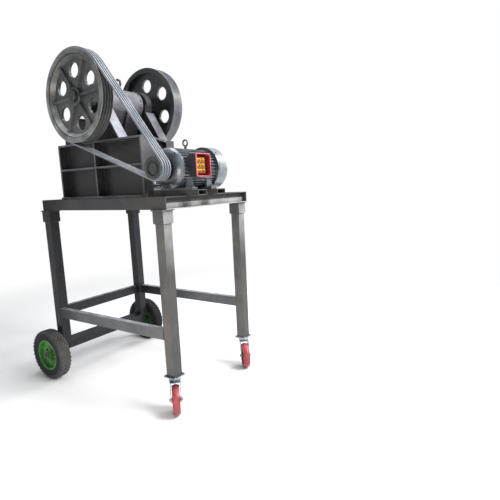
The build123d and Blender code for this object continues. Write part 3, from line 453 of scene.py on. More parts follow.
def distance(first, second):
    """Distance between two values."""
    return maths("ABSOLUTE", maths("SUBTRACT", first, second))


def dot(first, second):
    """Dot product of two vectors."""
    return node(first.id_data, "VectorMath", {0: first, 1: second}, "Value", operation="DOT_PRODUCT")


def between(value, low, high, curve="SMOOTHSTEP"):
    """Share of the way from one limit to the other."""
    limits = {"Value": value, "From Min": low, "From Max": high}
    return node(value.id_data, "MapRange", limits, interpolation_type=curve)


def blend(factor, first, second):
    """Colour between two colours."""
    return node(factor.id_data, "Mix", {"Factor": factor, 6: first, 7: second}, 2, data_type="RGBA")


def place(tree):
    """The point in Object coordinates."""
    return node(tree, "TexCoord", {}, "Object")


def normal(tree):
    """The surface's normal."""
    return node(tree, "NewGeometry", {}, "Normal")


def parts(vector):
    """X, Y and Z of a vector."""
    return node(vector.id_data, "SeparateXYZ", {"Vector": vector}).node.outputs[:]


def noise(scale, detail, roughness):
    """A noise in Object coordinates."""
    tree = scale.id_data
    inputs = {"Vector": place(tree), "Scale": scale, "Detail": detail, "Roughness": roughness}
    return node(tree, "TexNoise", inputs)


def mottle_group():
    """Cloudy change of a paint's tone between two shades."""
    inputs = {"Colour": (0.1, 0.1, 0.1, 1), "Light Colour": (0.2, 0.2, 0.2, 1), "Amount": 0.9, "Scale": 5.0}
    _, (dark, light, amount, scale) = new_group("mottled_tone", inputs, ("Colour", "Mask"))
    mask = product(between(noise(scale, 6.0, 0.62), 0.35, 0.68), amount)
    close_group(blend(mask, dark, light), mask)


def edge_group():
    """Mask of worn outer edges, broken up by a fine noise."""
    inputs = {"Radius": 0.0025, "Amount": 0.35, "Scale": 70.0}
    group, (radius, amount, scale) = new_group("worn_edges", inputs)
    rounded = node(group, "Bevel", {"Radius": radius}, samples=SHADER_SAMPLES)
    edge = between(dot(rounded, normal(group)), 0.995, 0.86)
    broken = between(noise(scale, 5.0, 0.7), 0.38, 0.6, "LINEAR")
    close_group(product(edge, broken, amount))


def dust_and_sheen_group():
    """Mask of faces that look up, broken up by a noise: stone dust on most finishes, a painted sheen where a
    pale colour is laid with it.
    """
    group, (amount, scale) = new_group("upward_dust_and_sheen", {"Amount": 0.25, "Scale": 14.0})
    upward = between(parts(normal(group))[2], 0.25, 0.95)
    patch = between(noise(scale, 7.0, 0.7), 0.3, 0.75, "LINEAR")
    close_group(product(upward, patch, amount))


def corner_shade_and_grime_group():
    """Mask of painted shade in corners and creases, found by ambient occlusion and broken up by a noise; it
    stands in for grease and dirt there too.
    """
    group, (reach, amount, scale) = new_group("corner_shade_and_grime", {"Reach": 0.04, "Amount": 0.6, "Scale": 22.0})
    shade = node(group, "AmbientOcclusion", {"Distance": reach}, "AO", samples=SHADER_SAMPLES)
    patch = between(noise(scale, 6.0, 0.68), 0.25, 0.6, "LINEAR")
    close_group(product(between(shade, 0.95, 0.35), patch, amount))


def skin_group():
    """Height of a painted skin: fine orange peel over a coarser grain."""
    inputs = {"Fine Scale": 420.0, "Coarse Scale": 45.0, "Coarse Share": 0.5}
    _, (fine_scale, coarse_scale, share) = new_group("painted_skin", inputs, ("Height",))
    coarse = product(noise(coarse_scale, 4.0, 0.6), share)
    close_group(maths("ADD", noise(fine_scale, 2.0, 0.5), coarse))


def radius_group():
    """Mask of what lies beyond a radius from a line along Y and within a reach of a face.

    The side values make the mask stronger toward one side of the line."""
    inputs = {"Centre X": 0.0, "Centre Z": 0.0, "Radius": 0.1, "Blur": 0.002, "Face Y": 0.0}
    inputs |= {"Face Reach": 10.0, "Side X": 0.0, "Side Z": 0.0, "Side Base": 1.0}
    group, given = new_group("beyond_radius", inputs)
    centre_x, centre_z, radius, blur, face_y, face_reach, side_x, side_z, side_base = given
    x, y, z = parts(place(group))
    across = maths("SUBTRACT", x, centre_x)
    arm = node(group, "CombineXYZ", {"X": across, "Z": maths("SUBTRACT", z, centre_z)})
    reach = node(group, "VectorMath", {0: arm}, "Value", operation="LENGTH")
    share = maths("DIVIDE", maths("SUBTRACT", reach, radius), blur, clamp=True)
    near_face = maths("LESS_THAN", distance(y, face_y), face_reach)
    side = node(group, "CombineXYZ", {"X": side_x, "Z": side_z})
    strength = maths("ADD", dot(arm, side), side_base, clamp=True)
    close_group(product(share, near_face, strength))


def rib_group():
    """Mask of the ribs' outer edges, past a distance from the body's middle, and of a painted sheen on slopes
    that look up and rearward.
    """
    inputs = {"Middle Y": 0.0, "Reach": 0.2, "Tip Share": 0.4}
    group, (middle_y, reach, tip_share) = new_group("rib_tips_and_slope_sheen", inputs)
    tips = product(maths("GREATER_THAN", distance(parts(place(group))[1], middle_y), reach), tip_share)
    rearward, _, upward = parts(normal(group))
    slope_sheen = product(maths("GREATER_THAN", upward, 0.25), maths("GREATER_THAN", rearward, 0.4))
    close_group(maths("MAXIMUM", slope_sheen, tips))


def line_group():
    """Mask of painted shade that rises along a direction, and on faces that look along +X."""
    inputs = {"Along X": -1.0, "Along Y": 0.35, "Start": 0.0, "End": 0.4, "Face Share": 0.0}
    group, (along_x, along_y, start, end, face_share) = new_group("shade_past_line", inputs)
    along = node(group, "CombineXYZ", {"X": along_x, "Y": along_y})
    facing = maths("MULTIPLY", parts(normal(group))[0], face_share, clamp=True)
    close_group(maths("MAXIMUM", between(dot(place(group), along), start, end), facing))


def rear_group():
    """Mask of painted light on faces that look to the motor end, past a place along X and below a height.

    A blur below zero turns it to what lies above the height."""
    group, (past_x, top, blur) = new_group("rearward_painted_light", {"Past X": 0.5, "Top": 10.0, "Blur": 0.006})
    x, _, z = parts(place(group))
    facing = maths("MULTIPLY", parts(normal(group))[0], 1.0, clamp=True)
    fade = maths("DIVIDE", maths("SUBTRACT", top, z), blur, clamp=True)
    close_group(product(facing, maths("GREATER_THAN", x, past_x), fade))


def inside_group():
    """Mask of the inside and the rim of an open box whose mouth looks along +X."""
    inputs = {"Middle Y": 0.0, "Middle Z": 0.0, "Half Size": 0.07, "Rim X": 1.0}
    group, (middle_y, middle_z, half_size, rim_x) = new_group("box_inside", inputs)
    x, y, z = parts(place(group))
    widest = maths("MAXIMUM", distance(y, middle_y), distance(z, middle_z))
    within = maths("LESS_THAN", widest, half_size)
    close_group(maths("MAXIMUM", within, maths("GREATER_THAN", x, rim_x)))


GROUP_MAKERS = (
    mottle_group, edge_group, dust_and_sheen_group, corner_shade_and_grime_group, skin_group,
    radius_group, rib_group, line_group, rear_group, inside_group,
)


def lighter(colour, factor, lift=0.0):
    """A shade of a colour, opaque."""
    return tuple(min(1.0, part * factor + lift) for part in colour[:3]) + (1.0,)


def warmed(colour, share):
    """A colour moved toward brown, or toward blue where the share is below zero."""
    red, green, blue, alpha = colour
    return (red * (1 + share), green, blue * (1 - share), alpha)


def mottled(tree, colour, contrast, warm, scale):
    """Tone of a paint that drifts between a dark and a lighter, warmer shade."""
    shades = {
        "Colour": warmed(lighter(colour, 1 - contrast), -warm),
        "Light Colour": warmed(lighter(colour, 1 + 1.4 * contrast), warm),
    }
    return placed(tree, "mottled_tone", {**shades, "Scale": scale}, "Colour")


def node_material(name):
    """A fresh material that uses nodes, with its tree and its shader."""
    material = bpy.data.materials.new(name)
    material.use_nodes = True
    return material, material.node_tree, material.node_tree.nodes["Principled BSDF"]


def painted(
    name, colour, roughness, wear=0.5, dust_and_sheen=0.0, coarse=0.4, bump=0.12, worn_colour=None, metallic=0.0,
    patches=(), contrast=0.28, coat=0.0, gloss=0.5, dust_and_sheen_colour=STONE_DUST, warm=0.03,
):
    """Make a finish: mottled paint with worn edges, stone dust and painted sheen on faces that look up,
    painted corner shade with grime, and a grained skin.

    A patch is a node group with its values and a colour; its mask lays that colour over the first. Some
    patches are a second paint, others are painted light and shade."""
    material, tree, shader = node_material(name)
    tone = mottled(tree, colour, contrast, warm, 5.0)
    clouds = tone.node.outputs["Mask"]
    for group, values, patch_colour in patches:
        patch = mottled(tree, patch_colour, contrast, 0.0, 9.0)
        tone = blend(placed(tree, group, values), tone, patch)
    edges = placed(tree, "worn_edges", {"Amount": wear})
    worn = blend(edges, tone, worn_colour or lighter(colour, 2.4, 0.06))
    # Faces that look up get the given colour: stone dust on most finishes, a painted sheen where the colour
    # is pale.
    dust_and_sheen_mask = placed(tree, "upward_dust_and_sheen", {"Amount": dust_and_sheen})
    with_dust_and_sheen = blend(dust_and_sheen_mask, worn, lighter(dust_and_sheen_colour, 1.0))
    rough = {"Value": clouds, "To Min": roughness - 0.05, "To Max": roughness + 0.14}
    relief = {
        "Strength": bump,
        "Distance": 0.0015,
        "Height": placed(tree, "painted_skin", {"Coarse Share": coarse}, "Height"),
        "Normal": node(tree, "Bevel", {"Radius": 0.0016}, samples=SHADER_SAMPLES),
    }
    surface = {
        # Painted shade with grime: corners and creases darken to 0.4 of the paint's colour.
        "Base Color": blend(placed(tree, "corner_shade_and_grime", {}), with_dust_and_sheen, lighter(colour, 0.4, 0.004)),
        "Roughness": node(tree, "MapRange", rough),
        "Normal": node(tree, "Bump", relief),
        "Metallic": metallic,
        "Coat Weight": coat,
        "Coat Roughness": 0.18,
        "Specular IOR Level": gloss,
    }
    feed(shader, surface)
    FINISHES[name] = material


def turned_metal(name, colour, roughness):
    """Bright or plated steel, a little dulled."""
    painted(name, colour, roughness, wear=0.2, dust_and_sheen=0.15, coarse=0.15, bump=0.05, metallic=0.9)


def stand_finishes(sizes):
    """Finishes of the stand, its tyres, rims and castors, and of the steel in general."""
    grey = sizes.stand_paint
    # Painted light: the upper part of the legs' faces that look to the motor end is laid lighter, over the
    # painted shadow below it.
    leg_top_painted_light = {"Top": 0.92, "Blur": -0.3}
    # Painted reflection: the lower half of the deck end's web that looks to the motor end is laid lighter.
    lower_web_painted_reflection = {"Top": middle("frame_ends").z + 0.002}
    # Painted light and shade: the rails, legs and sockets are lighter copies, and the deck end a darker copy,
    # of the stand's one grey.
    stand_tones_lit_and_shaded = {
        "stand": (grey, ()),
        "rail": (sizes.rail_paint, ()),
        # Painted light: the sockets' faces that look to the motor end are laid lighter.
        "socket": (warmed(lighter(grey, 1.6), 0.02), (("rearward_painted_light", {}, (0.2, 0.2, 0.205)),)),
        "leg": (warmed(lighter(grey, 1.95), 0.04), (("rearward_painted_light", leg_top_painted_light, (0.19, 0.195, 0.19)),)),
        "deck_end": (lighter(grey, 0.85), (("rearward_painted_light", lower_web_painted_reflection, (0.33, 0.33, 0.34)),)),
    }
    for name, (colour, patches) in stand_tones_lit_and_shaded.items():
        # Painted shade: the stand darkens towards its feed end and far side; on the legs it also darkens the
        # faces that look to the motor end, as a painted shadow.
        feed_end_painted_shade = ("shade_past_line", {"Face Share": 0.68 if name == "leg" else 0.0}, sizes.feed_end_shade_paint)
        # Painted highlight: on the rails a thick pale grey on faces that look up makes their tops bright; the
        # other parts get thin stone dust.
        dust_and_sheen, dust_and_sheen_colour = (0.9, (0.62, 0.62, 0.64)) if name == "rail" else (0.15, STONE_DUST)
        painted(
            f"{name}_paint", colour, 0.34, wear=0.35, dust_and_sheen=dust_and_sheen, dust_and_sheen_colour=dust_and_sheen_colour, coarse=0.2,
            bump=0.08, patches=(feed_end_painted_shade, *patches), contrast=0.18, coat=0.1, gloss=0.2,
        )
    turned_metal("zinc_plate", (0.36, 0.39, 0.42), 0.38)
    turned_metal("turned_steel", (0.5, 0.5, 0.51), 0.32)
    painted("dark_steel", (0.1, 0.1, 0.1), 0.4, wear=0.7, dust_and_sheen=0.25, coarse=0.3, metallic=0.7)
    # The pale pink of the worn edges is partly wear and partly a painted highlight on the castor wheels.
    painted(
        "castor_polyurethane", (0.27, 0.04, 0.048), 0.38, wear=0.6, coarse=0.3, bump=0.08,
        worn_colour=(0.5, 0.27, 0.25, 1), contrast=0.4,
    )
    tyres = {
        "tyre_near": ((0.018, 0.021, 0.023), (0.072, 0.071, 0.07), (0.25, 0.25, 0.25, 1)),
        # Painted shade: the far tyre's colours are a much darker, shaded copy of the near tyre's.
        "tyre_far": ((0.005, 0.005, 0.006), (0.009, 0.009, 0.009), (0.03, 0.03, 0.03, 1)),
    }
    for name, (colour, tread_colour, worn_colour) in tyres.items():
        centre = middle(name)
        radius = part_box(name)[1].z - centre.z
        tread = {"Centre X": centre.x, "Centre Z": centre.z, "Radius": radius - 0.034, "Blur": 0.018}
        painted(
            f"{name}_rubber", colour, 0.72, wear=0.8, coarse=0.9, bump=0.3,
            worn_colour=worn_colour, patches=(("beyond_radius", tread, tread_colour),), gloss=0.3,
        )
    painted("valve_rubber", (0.02, 0.02, 0.02), 0.6, wear=0.2, dust_and_sheen=0.2)
    painted("rim_paint", sizes.rim_paint, 0.36)
    # Painted shade: the far rim's dark green is a shaded copy of the near rim's paint.
    painted("rim_far_shaded_paint", (0.01, 0.055, 0.01), 0.45, wear=0.3, gloss=0.3)


def crusher_finishes(sizes):
    """Finishes of the crusher's body, pitman, wheels, jaws and belts."""
    low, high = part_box("side_plate_near")
    ribs = {"Middle Y": BODY_Y, "Reach": BODY_Y - low.y - 0.018, "Tip Share": 0.42}
    # Painted light: the side plates' faces that look to the motor end, near their rear end, are laid lighter.
    rear_flange_painted_light = ("rearward_painted_light", {"Past X": high.x - FOOT_OVERHANG - 0.006}, (0.062, 0.062, 0.068))
    # The rib edges are laid lighter and the slopes that look up and rearward get a painted sheen; the far
    # side plate's darker copy of these is painted shade.
    for name, rib_and_sheen_colour in (("crusher", (0.26, 0.265, 0.3)), ("far_side", (0.13, 0.135, 0.155))):
        painted(
            f"{name}_paint", sizes.crusher_paint, 0.38, wear=0.7, dust_and_sheen=0.35,
            patches=(("rib_tips_and_slope_sheen", ribs, rib_and_sheen_colour), rear_flange_painted_light), coat=0.2,
        )
    painted("cast_grey", (0.024, 0.024, 0.026), 0.5, gloss=0.3, coarse=1.2, bump=0.25)
    axis = {"Centre X": SHAFT.x, "Centre Z": SHAFT.z}
    body = {**axis, "Radius": BARREL_RADIUS + 0.0005, "Blur": 0.001}
    painted(
        "pitman_paint", sizes.pitman_paint, 0.34, wear=0.35, dust_and_sheen=0.1, coarse=0.3,
        patches=(("beyond_radius", body, (0.03, 0.03, 0.033)),), coat=0.3,
    )
    # The rim face is laid lighter than the web, its own worn tone, and lighter still towards the lower left
    # as a painted highlight.
    rim = {**axis, "Radius": WHEEL_RADIUS - 0.043, "Blur": 0.016, "Face Y": WHEEL_FRONT, "Face Reach": 0.003}
    rim |= {"Side X": -0.7, "Side Z": -0.7, "Side Base": 0.55}
    # Painted light: the web is laid lighter towards its bottom.
    low_web_painted_light = {**axis, "Radius": WHEEL_RADIUS - 0.046, "Blur": -0.01, "Face Y": WHEEL_FRONT + 0.036}
    low_web_painted_light |= {"Face Reach": 0.03, "Side X": 0.8, "Side Z": -2.8, "Side Base": -0.1}
    tread = {**axis, "Radius": WHEEL_RADIUS - 0.004, "Blur": 0.003}
    wheels = {
        "wheel": (
            sizes.wheel_paint,
            (("beyond_radius", rim, (0.31, 0.33, 0.32)), ("beyond_radius", low_web_painted_light, (0.18, 0.18, 0.178))),
        ),
        # Painted shade: the flywheel takes the darker, shaded copy of the wheel paint.
        "flywheel": (sizes.flywheel_paint, (("beyond_radius", tread, (0.043, 0.048, 0.056)),)),
    }
    for name, (colour, patches) in wheels.items():
        painted(
            f"{name}_paint", colour, 0.36, wear=0.8, coarse=0.9, bump=0.2, patches=patches,
            contrast=0.5, coat=0.45, warm=0.05,
        )
    # Painted highlight: the lip is laid much lighter towards the lower left, where light from above falls on
    # it.
    lip_lower_painted_highlight = {**axis, "Radius": 0.0, "Side X": -0.7, "Side Z": -3.6, "Side Base": -0.1}
    painted(
        "lip_paint", (0.095, 0.098, 0.092), 0.32,
        patches=(("beyond_radius", lip_lower_painted_highlight, (0.6, 0.64, 0.66)),), contrast=0.35, coat=0.5, warm=0.12,
    )
    painted("pulley_paint", (0.05, 0.053, 0.053), 0.42, wear=0.7, coarse=0.7)
    steel = (0.16, 0.16, 0.165)
    painted("jaw_steel", steel, 0.5, wear=0.8, dust_and_sheen=0.25, coarse=1.2, bump=0.3, metallic=0.5)
    painted("belt_rubber", sizes.belt_colour, 0.5, wear=0.4, dust_and_sheen=0.15, coarse=0.2)


def motor_finishes(sizes):
    """Finishes of the motor, its fan cover and its terminal box."""
    # Painted sheen: a pale blue on faces that look up stands for the sky's reflection on the motor, its
    # shields and its fan cover.
    painted_sky_sheen = (0.42, 0.46, 0.52)
    painted(
        "motor_paint", sizes.motor_paint, 0.24, dust_and_sheen=0.75, coarse=0.3, coat=0.9,
        dust_and_sheen_colour=painted_sky_sheen,
    )
    centre = middle("motor_shaft")
    # The shield's rim is laid lighter than its dark face: partly the rim's own tone, partly a painted
    # reflection.
    rim = {"Centre X": centre.x, "Centre Z": centre.z, "Radius": SHIELD_RADIUS - 0.045, "Blur": 0.035}
    painted(
        "shield_paint", sizes.shield_paint, 0.22, wear=0.4, dust_and_sheen=0.5, coarse=0.5,
        patches=(("beyond_radius", rim, (0.07, 0.083, 0.098)),), coat=0.9, dust_and_sheen_colour=painted_sky_sheen,
    )
    painted(
        "cover_paint", sizes.cover_paint, 0.3, dust_and_sheen=0.15, coarse=0.15, coat=0.5,
        dust_and_sheen_colour=painted_sky_sheen,
    )
    painted("black_plastic", (0.02, 0.02, 0.021), 0.45, wear=0.2, dust_and_sheen=0.1)
    centre = middle("terminal_box")
    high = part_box("terminal_box")[1]
    mouth = {"Middle Y": centre.y, "Middle Z": centre.z, "Half Size": high.y - centre.y - 0.004}
    inside = ("box_inside", {**mouth, "Rim X": high.x - 0.002}, sizes.box_red)
    painted("box_paint", (0.014, 0.017, 0.023), 0.3, wear=0.35, dust_and_sheen=0.3, patches=(inside,))
    painted("box_red", sizes.box_red, 0.4, wear=0.2, dust_and_sheen=0.1)
    painted("box_edge", (0.44, 0.07, 0.1), 0.35, wear=0.2, dust_and_sheen=0.1)
    turned_metal("brass", (0.85, 0.42, 0.08), 0.3)
    painted("terminal_base", (0.35, 0.16, 0.03), 0.45, wear=0.2, dust_and_sheen=0.1)


NODE_FINISHES = {
    "stand_paint": "frame_sides cross_members axle_beam axle_brackets slide_rails",
    "deck_end_paint": "frame_ends",
    "leg_paint": "legs",
    "socket_paint": "leg_sockets",
    "rail_paint": "lower_rails",
    "crusher_paint": "side_plate_near front_wall rear_wall toggle_block",
    "far_side_paint": "side_plate_far",
    "cast_grey": "bearing_near bearing_far",
    "pitman_paint": "pitman pitman_eye",
    "wheel_paint": "sheave",
    "flywheel_paint": "flywheel",
    "pulley_paint": "motor_pulley",
    "jaw_steel": "fixed_jaw swing_jaw cheek_plates toggle_plate",
    "turned_steel": "tension_rod tension_spring",
    "dark_steel": "axle eccentric_shaft motor_shaft",
    "zinc_plate": "castor_plates castor_fork_near castor_fork_far",
    "castor_polyurethane": "castor_wheel_near castor_wheel_far",
    "tyre_near_rubber": "tyre_near",
    "tyre_far_rubber": "tyre_far",
    "rim_paint": "rim_near",
    "rim_far_shaded_paint": "rim_far",
    "motor_paint": "motor_frame motor_eye",
    "shield_paint": "motor_shields",
    "cover_paint": "fan_cover",
    "box_paint": "terminal_box",
    "black_plastic": "motor_fan",
    "terminal_base": "terminal_block",
    "belt_rubber": "drive_belts",
}


class CRUSHER_OT_finishes(Operator):
    """Make the finishes and give each CAD node its own"""

    bl_idname = "crusher.finishes"
    bl_label = "Finishes"

    def execute(self, context):
        for make_group in GROUP_MAKERS:
            make_group()
        for make_finishes in (stand_finishes, crusher_finishes, motor_finishes):
            make_finishes(context.scene.crusher_finish)
        for finish, node_names in NODE_FINISHES.items():
            for node_name in node_names.split():
                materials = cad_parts[node_name].data.materials
                if not materials:
                    materials.append(None)
                for index in range(len(materials)):
                    materials[index] = FINISHES[finish]
        return {"FINISHED"}


def tyre_outline(radius, half, bead):
    """Carcass with a flat crown, ringed side walls and beads on the rim."""
    drops = (
        (0.007, 0.86), (0.018, 0.95), (0.026, 0.985), (0.028, 1.0), (0.032, 1.0),
        (0.034, 0.985), (0.05, 0.985), (0.062, 0.93), (0.064, 0.96), (0.068, 0.95),
    )
    wall = tuple((radius - drop, half * share) for drop, share in drops)
    side = (*wall, (bead + 0.004, half * 0.86), (bead, half * 0.8))
    crown = tuple((radius, half * share) for share in (-0.72, -0.432, -0.144, 0.144, 0.432, 0.72))
    return crown + side + tuple((reach, -across) for reach, across in reversed(side))


class CRUSHER_OT_tyres(Operator):
    """Tyres with blocks of tread, rings on their walls and beads on the rims"""

    bl_idname = "crusher.tyres"
    bl_label = "Tyres"

    def execute(self, context):
        sizes = context.scene.crusher_detail
        steps = sizes.lug_steps
        for label, _ in SIDES:
            name = f"tyre_{label}"
            centre = middle(name)
            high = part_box(name)[1]
            carcass = high.z - centre.z - sizes.lug_depth
            half = high.y - centre.y
            lane = half * 0.288
            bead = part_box(f"rim_{label}")[1].z - middle(f"rim_{label}").z - 0.004
            tyre = revolved(tyre_outline(carcass, half, bead), centre, steps)

            def is_lug(face):
                arm = face.center - centre
                if math.hypot(arm.x, arm.z) < carcass - 0.006 or abs(arm.y) > half * 0.84:
                    return False
                turn = round(math.atan2(arm.z, arm.x) / math.tau * steps - 0.5)
                return (turn + round(arm.y / lane)) % 2 == 0

            select_parts(tyre, is_lug)
            inset(0.0016, sizes.lug_depth, use_individual=True)
            leave_edit()
            soften(tyre, 0.0007, 1)
            only(tyre)
            bpy.ops.object.shade_smooth_by_angle(angle=math.radians(40))
            place_piece(tyre, f"tread_tyre_{label}", f"{name}_rubber", "tyre", f"road_wheel_{label}", (name,))
        return {"FINISHED"}


class CRUSHER_OT_hubs(Operator):
    """Caps, nuts and valves of the road wheels, and the nuts on the axle's ends"""

    bl_idname = "crusher.hubs"
    bl_label = "Road wheel hubs"

    def execute(self, context):
        sizes = context.scene.crusher_detail
        nut_circle = 0.045
        web_face = 0.017
        valve_shift = 0.062
        end_depth = 0.0135
        for label, side in SIDES:
            wheel = f"road_wheel_{label}"
            centre = middle(f"rim_{label}")
            face = Vector((centre.x, outer_y(f"rim_{label}", side), centre.z))
            profile = ((0.0135, 0.0), (0.027, 0.0), (0.027, 0.004), (0.021, 0.008), (0.0135, 0.008))
            cap = revolved([(radius, side.y * out) for radius, out in profile], face, 32)
            place_piece(cap, f"hub_cap_{label}", body=wheel)
            places = ring(centre + side * web_face, nut_circle, 4, side, 45)
            place_copies(stud_nut(sizes.small_bolt), places, f"rim_nuts_{label}", body=wheel)
            valve = cylinder(14, 0.0045, 0.03)
            select_parts(valve, looks_up)
            inset(0.0012)
            bpy.ops.mesh.extrude_region_move(TRANSFORM_OT_translate={"value": (0, 0, 0.01)})
            leave_edit()
            soften(valve, 0.0006, 1)
            places = [(centre + Vector((valve_shift, side.y * 0.004, valve_shift)), side)]
            place_copies(valve, places, f"tyre_valve_{label}", "valve_rubber", "tyre", wheel)
            end = Vector((centre.x, outer_y("axle", side), centre.z))
            place_copies(hex_bolt(0.014), [(end - side * end_depth, side)], f"axle_nut_{label}")
        return {"FINISHED"}


class CRUSHER_OT_crusher_bolts(Operator):
    """Bolts of the bearings, the feet and the barrel, and the belt wheel's key and lip"""

    bl_idname = "crusher.crusher_bolts"
    bl_label = "Crusher bolts"

    def execute(self, context):
        sizes = context.scene.crusher_detail
        bolt_circle = 0.078
        cover_thickness = 0.006
        anchor_x = 0.036
        anchor_y = 0.03
        for label, side in SIDES:
            centre = Vector((SHAFT.x, outer_y(f"bearing_{label}", side), SHAFT.z))
            profile = (
                (0.056, 0.0), (0.092, 0.0), (0.092, 0.004), (0.088, cover_thickness),
                (0.066, cover_thickness), (0.062, 0.0055), (0.056, 0.0055),
            )
            cover = revolved([(radius, side.y * out) for radius, out in profile], centre, 48)
            place_piece(cover, f"bearing_cover_{label}", "cast_grey", "cast_grey")
            places = ring(centre + side * cover_thickness, bolt_circle, 6, side, 30)
            place_copies(hex_bolt(sizes.small_bolt), places, f"bearing_bolts_{label}")
            plate = f"side_plate_{label}"
            low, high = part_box(plate)
            foot_y = outer_y(plate, side) - side.y * anchor_y
            places = [(Vector((high.x - anchor_x, foot_y, low.z + ANCHOR_FOOT_THICKNESS)), UP)]
            place_copies(stud_nut(sizes.large_bolt), places, f"anchor_bolts_{label}")
        barrel_end = Vector((SHAFT.x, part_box("pitman")[1].y - 0.03, SHAFT.z))
        places = radial(barrel_end, BARREL_RADIUS - 0.0005, (-15, 15, 45, 75, 105, 135, 165))
        place_copies(hex_bolt(sizes.small_bolt * 0.8), places, "barrel_screws")
        shaft_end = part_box("eccentric_shaft")[0].y
        key = block((SHAFT.x, shaft_end + 0.013, SHAFT.z + 0.0375), (0.02, 0.016, 0.014))
        soften(key, 0.0015)
        place_piece(key, "wheel_key", body="crusher_rotor")
        lip = (
            (WHEEL_RADIUS - 0.04, 0.004), (WHEEL_RADIUS - 0.04, 0.035),
            (WHEEL_RADIUS - 0.066, 0.035), (WHEEL_RADIUS - 0.0455, 0.004),
        )
        cone = revolved(lip, Vector((SHAFT.x, WHEEL_FRONT, SHAFT.z)), 96)
        place_piece(cone, "sheave_lip", "lip_paint", "wheel_paint", "crusher_rotor")
        return {"FINISHED"}


class CRUSHER_OT_motor_details(Operator):
    """Lugs, bolts and screws of the motor, and the nuts of its feet"""

    bl_idname = "crusher.motor_details"
    bl_label = "Motor details"

    def execute(self, context):
        sizes = context.scene.crusher_detail
        frame_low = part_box("motor_frame")[0]
        lug = cylinder(20, 0.013, 0.026)
        soften(lug, 0.003)
        seam = Vector((MOTOR.x, frame_low.y - 0.024, MOTOR.z))
        places = ring(seam, SHIELD_RADIUS - 0.011, 4, NEAR, 45)
        place_copies(lug, places, "shield_lugs", "shield_paint", "shield_paint")
        place_copies(hex_bolt(sizes.small_bolt), places, "shield_bolts")
        cover_low, cover_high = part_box("fan_cover")
        cover_front = Vector((MOTOR.x, cover_low.y + 0.012, MOTOR.z))
        cover_radius = (cover_high.z - cover_low.z) / 2
        places = radial(cover_front, cover_radius - 0.0003, (45, 135, 225, 315))
        place_copies(hex_bolt(sizes.screw), places, "cover_screws")
        foot_inset = 0.02
        foot = MOTOR.x - frame_low.x - foot_inset
        foot_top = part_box("slide_rails")[1].z + FOOT_THICKNESS
        places = grid((MOTOR.x - foot, MOTOR.x + foot), FOOT_LINES, (foot_top,), UP)
        place_copies(stud_nut(sizes.large_bolt * 0.8), places, "foot_nuts")
        return {"FINISHED"}


class CRUSHER_OT_terminals(Operator):
    """Board with its studs, nuts and washers, and the box with its bosses and its red edge"""

    bl_idname = "crusher.terminals"
    bl_label = "Terminals"

    def execute(self, context):
        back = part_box("terminal_block")[0].x
        centre = middle("terminal_block")
        board = block((back + 0.015, centre.y, centre.z), (0.03, 0.096, 0.104))
        select_parts(board, looks_rearward)
        bpy.ops.mesh.subdivide(number_cuts=2)
        inset(0.0015, -0.005, use_individual=True)
        leave_edit()
        soften(board, 0.0005, 1)
        stands_for = ("terminal_block",)
        place_piece(board, "terminal_board", "terminal_base", "terminal_brass", stands_for=stands_for)
        column_gap = 0.032
        row_gap = 0.0347
        columns = (centre.y - column_gap, centre.y, centre.y + column_gap)
        rows = (centre.z - row_gap, centre.z, centre.z + row_gap)
        places = grid((back + 0.025,), columns, rows, REAR)
        place_copies(stud_nut(0.0105), places, "terminal_nuts", "brass", "terminal_brass")
        low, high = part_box("terminal_box")
        boss = cylinder(16, 0.007, 0.05, -0.025)
        apply_transforms()
        select_parts(boss, looks_up)
        inset(0.004)
        inset(0.0, -0.006)
        leave_edit()
        soften(boss, 0.0006, 1)
        inward = 0.013
        ys = (low.y + inward, high.y - inward)
        zs = (low.z + inward, high.z - inward)
        places = grid((high.x - 0.005,), ys, zs, REAR)
        place_copies(boss, places, "box_bosses", "box_red", "box_black")
        edging_back = high.x - 0.003
        corner_radius = 0.012
        wall = 0.006
        tray_depth = 0.054
        tray = rounded_block(low, Vector((edging_back, high.y, high.z)), corner_radius)
        select_parts(tray, looks_rearward)
        inset(wall)
        inset(0.0, -tray_depth)
        leave_edit()
        place_piece(tray, "box_tray", "box_paint", "box_black", stands_for=("terminal_box",))
        edging = rounded_block(Vector((edging_back, low.y, low.z)), high, corner_radius)
        select_parts(edging, lambda face: abs(face.normal.x) > STRAIGHT)
        inset(0.0068)
        bpy.ops.mesh.bridge_edge_loops()
        leave_edit()
        place_piece(edging, "box_edging", "box_edge", "box_black")
        return {"FINISHED"}


class CRUSHER_OT_castor_details(Operator):
    """Bolts through the castor plates and nuts on the castors' pins"""

    bl_idname = "crusher.castor_details"
    bl_label = "Castor details"

    def execute(self, context):
        sizes = context.scene.crusher_detail
        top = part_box("castor_plates")[1].z
        x = middle("castor_plates").x
        bolt_inset = 0.01
        offset = CASTOR_PLATE / 2 - bolt_inset
        turn = math.radians(CASTOR_TURN)
        across = Vector((-math.sin(turn), math.cos(turn), 0))
        for label, side in SIDES:
            y = outer_y("castor_plates", side) - side.y * CASTOR_PLATE / 2
            places = grid((x - offset, x + offset), (y - offset, y + offset), (top,), UP)
            bolt = hex_bolt(sizes.small_bolt * 0.8)
            place_copies(bolt, places, f"castor_bolts_{label}", "zinc_plate", "zinc")
            wheel = middle(f"castor_wheel_{label}")
            places = [(wheel + out * FORK_HALF_WIDTH, out) for out in (across, -across)]
            nut = hex_bolt(0.0125)
            place_copies(nut, places, f"castor_nuts_{label}", "zinc_plate", "zinc", f"castor_{label}")
        return {"FINISHED"}


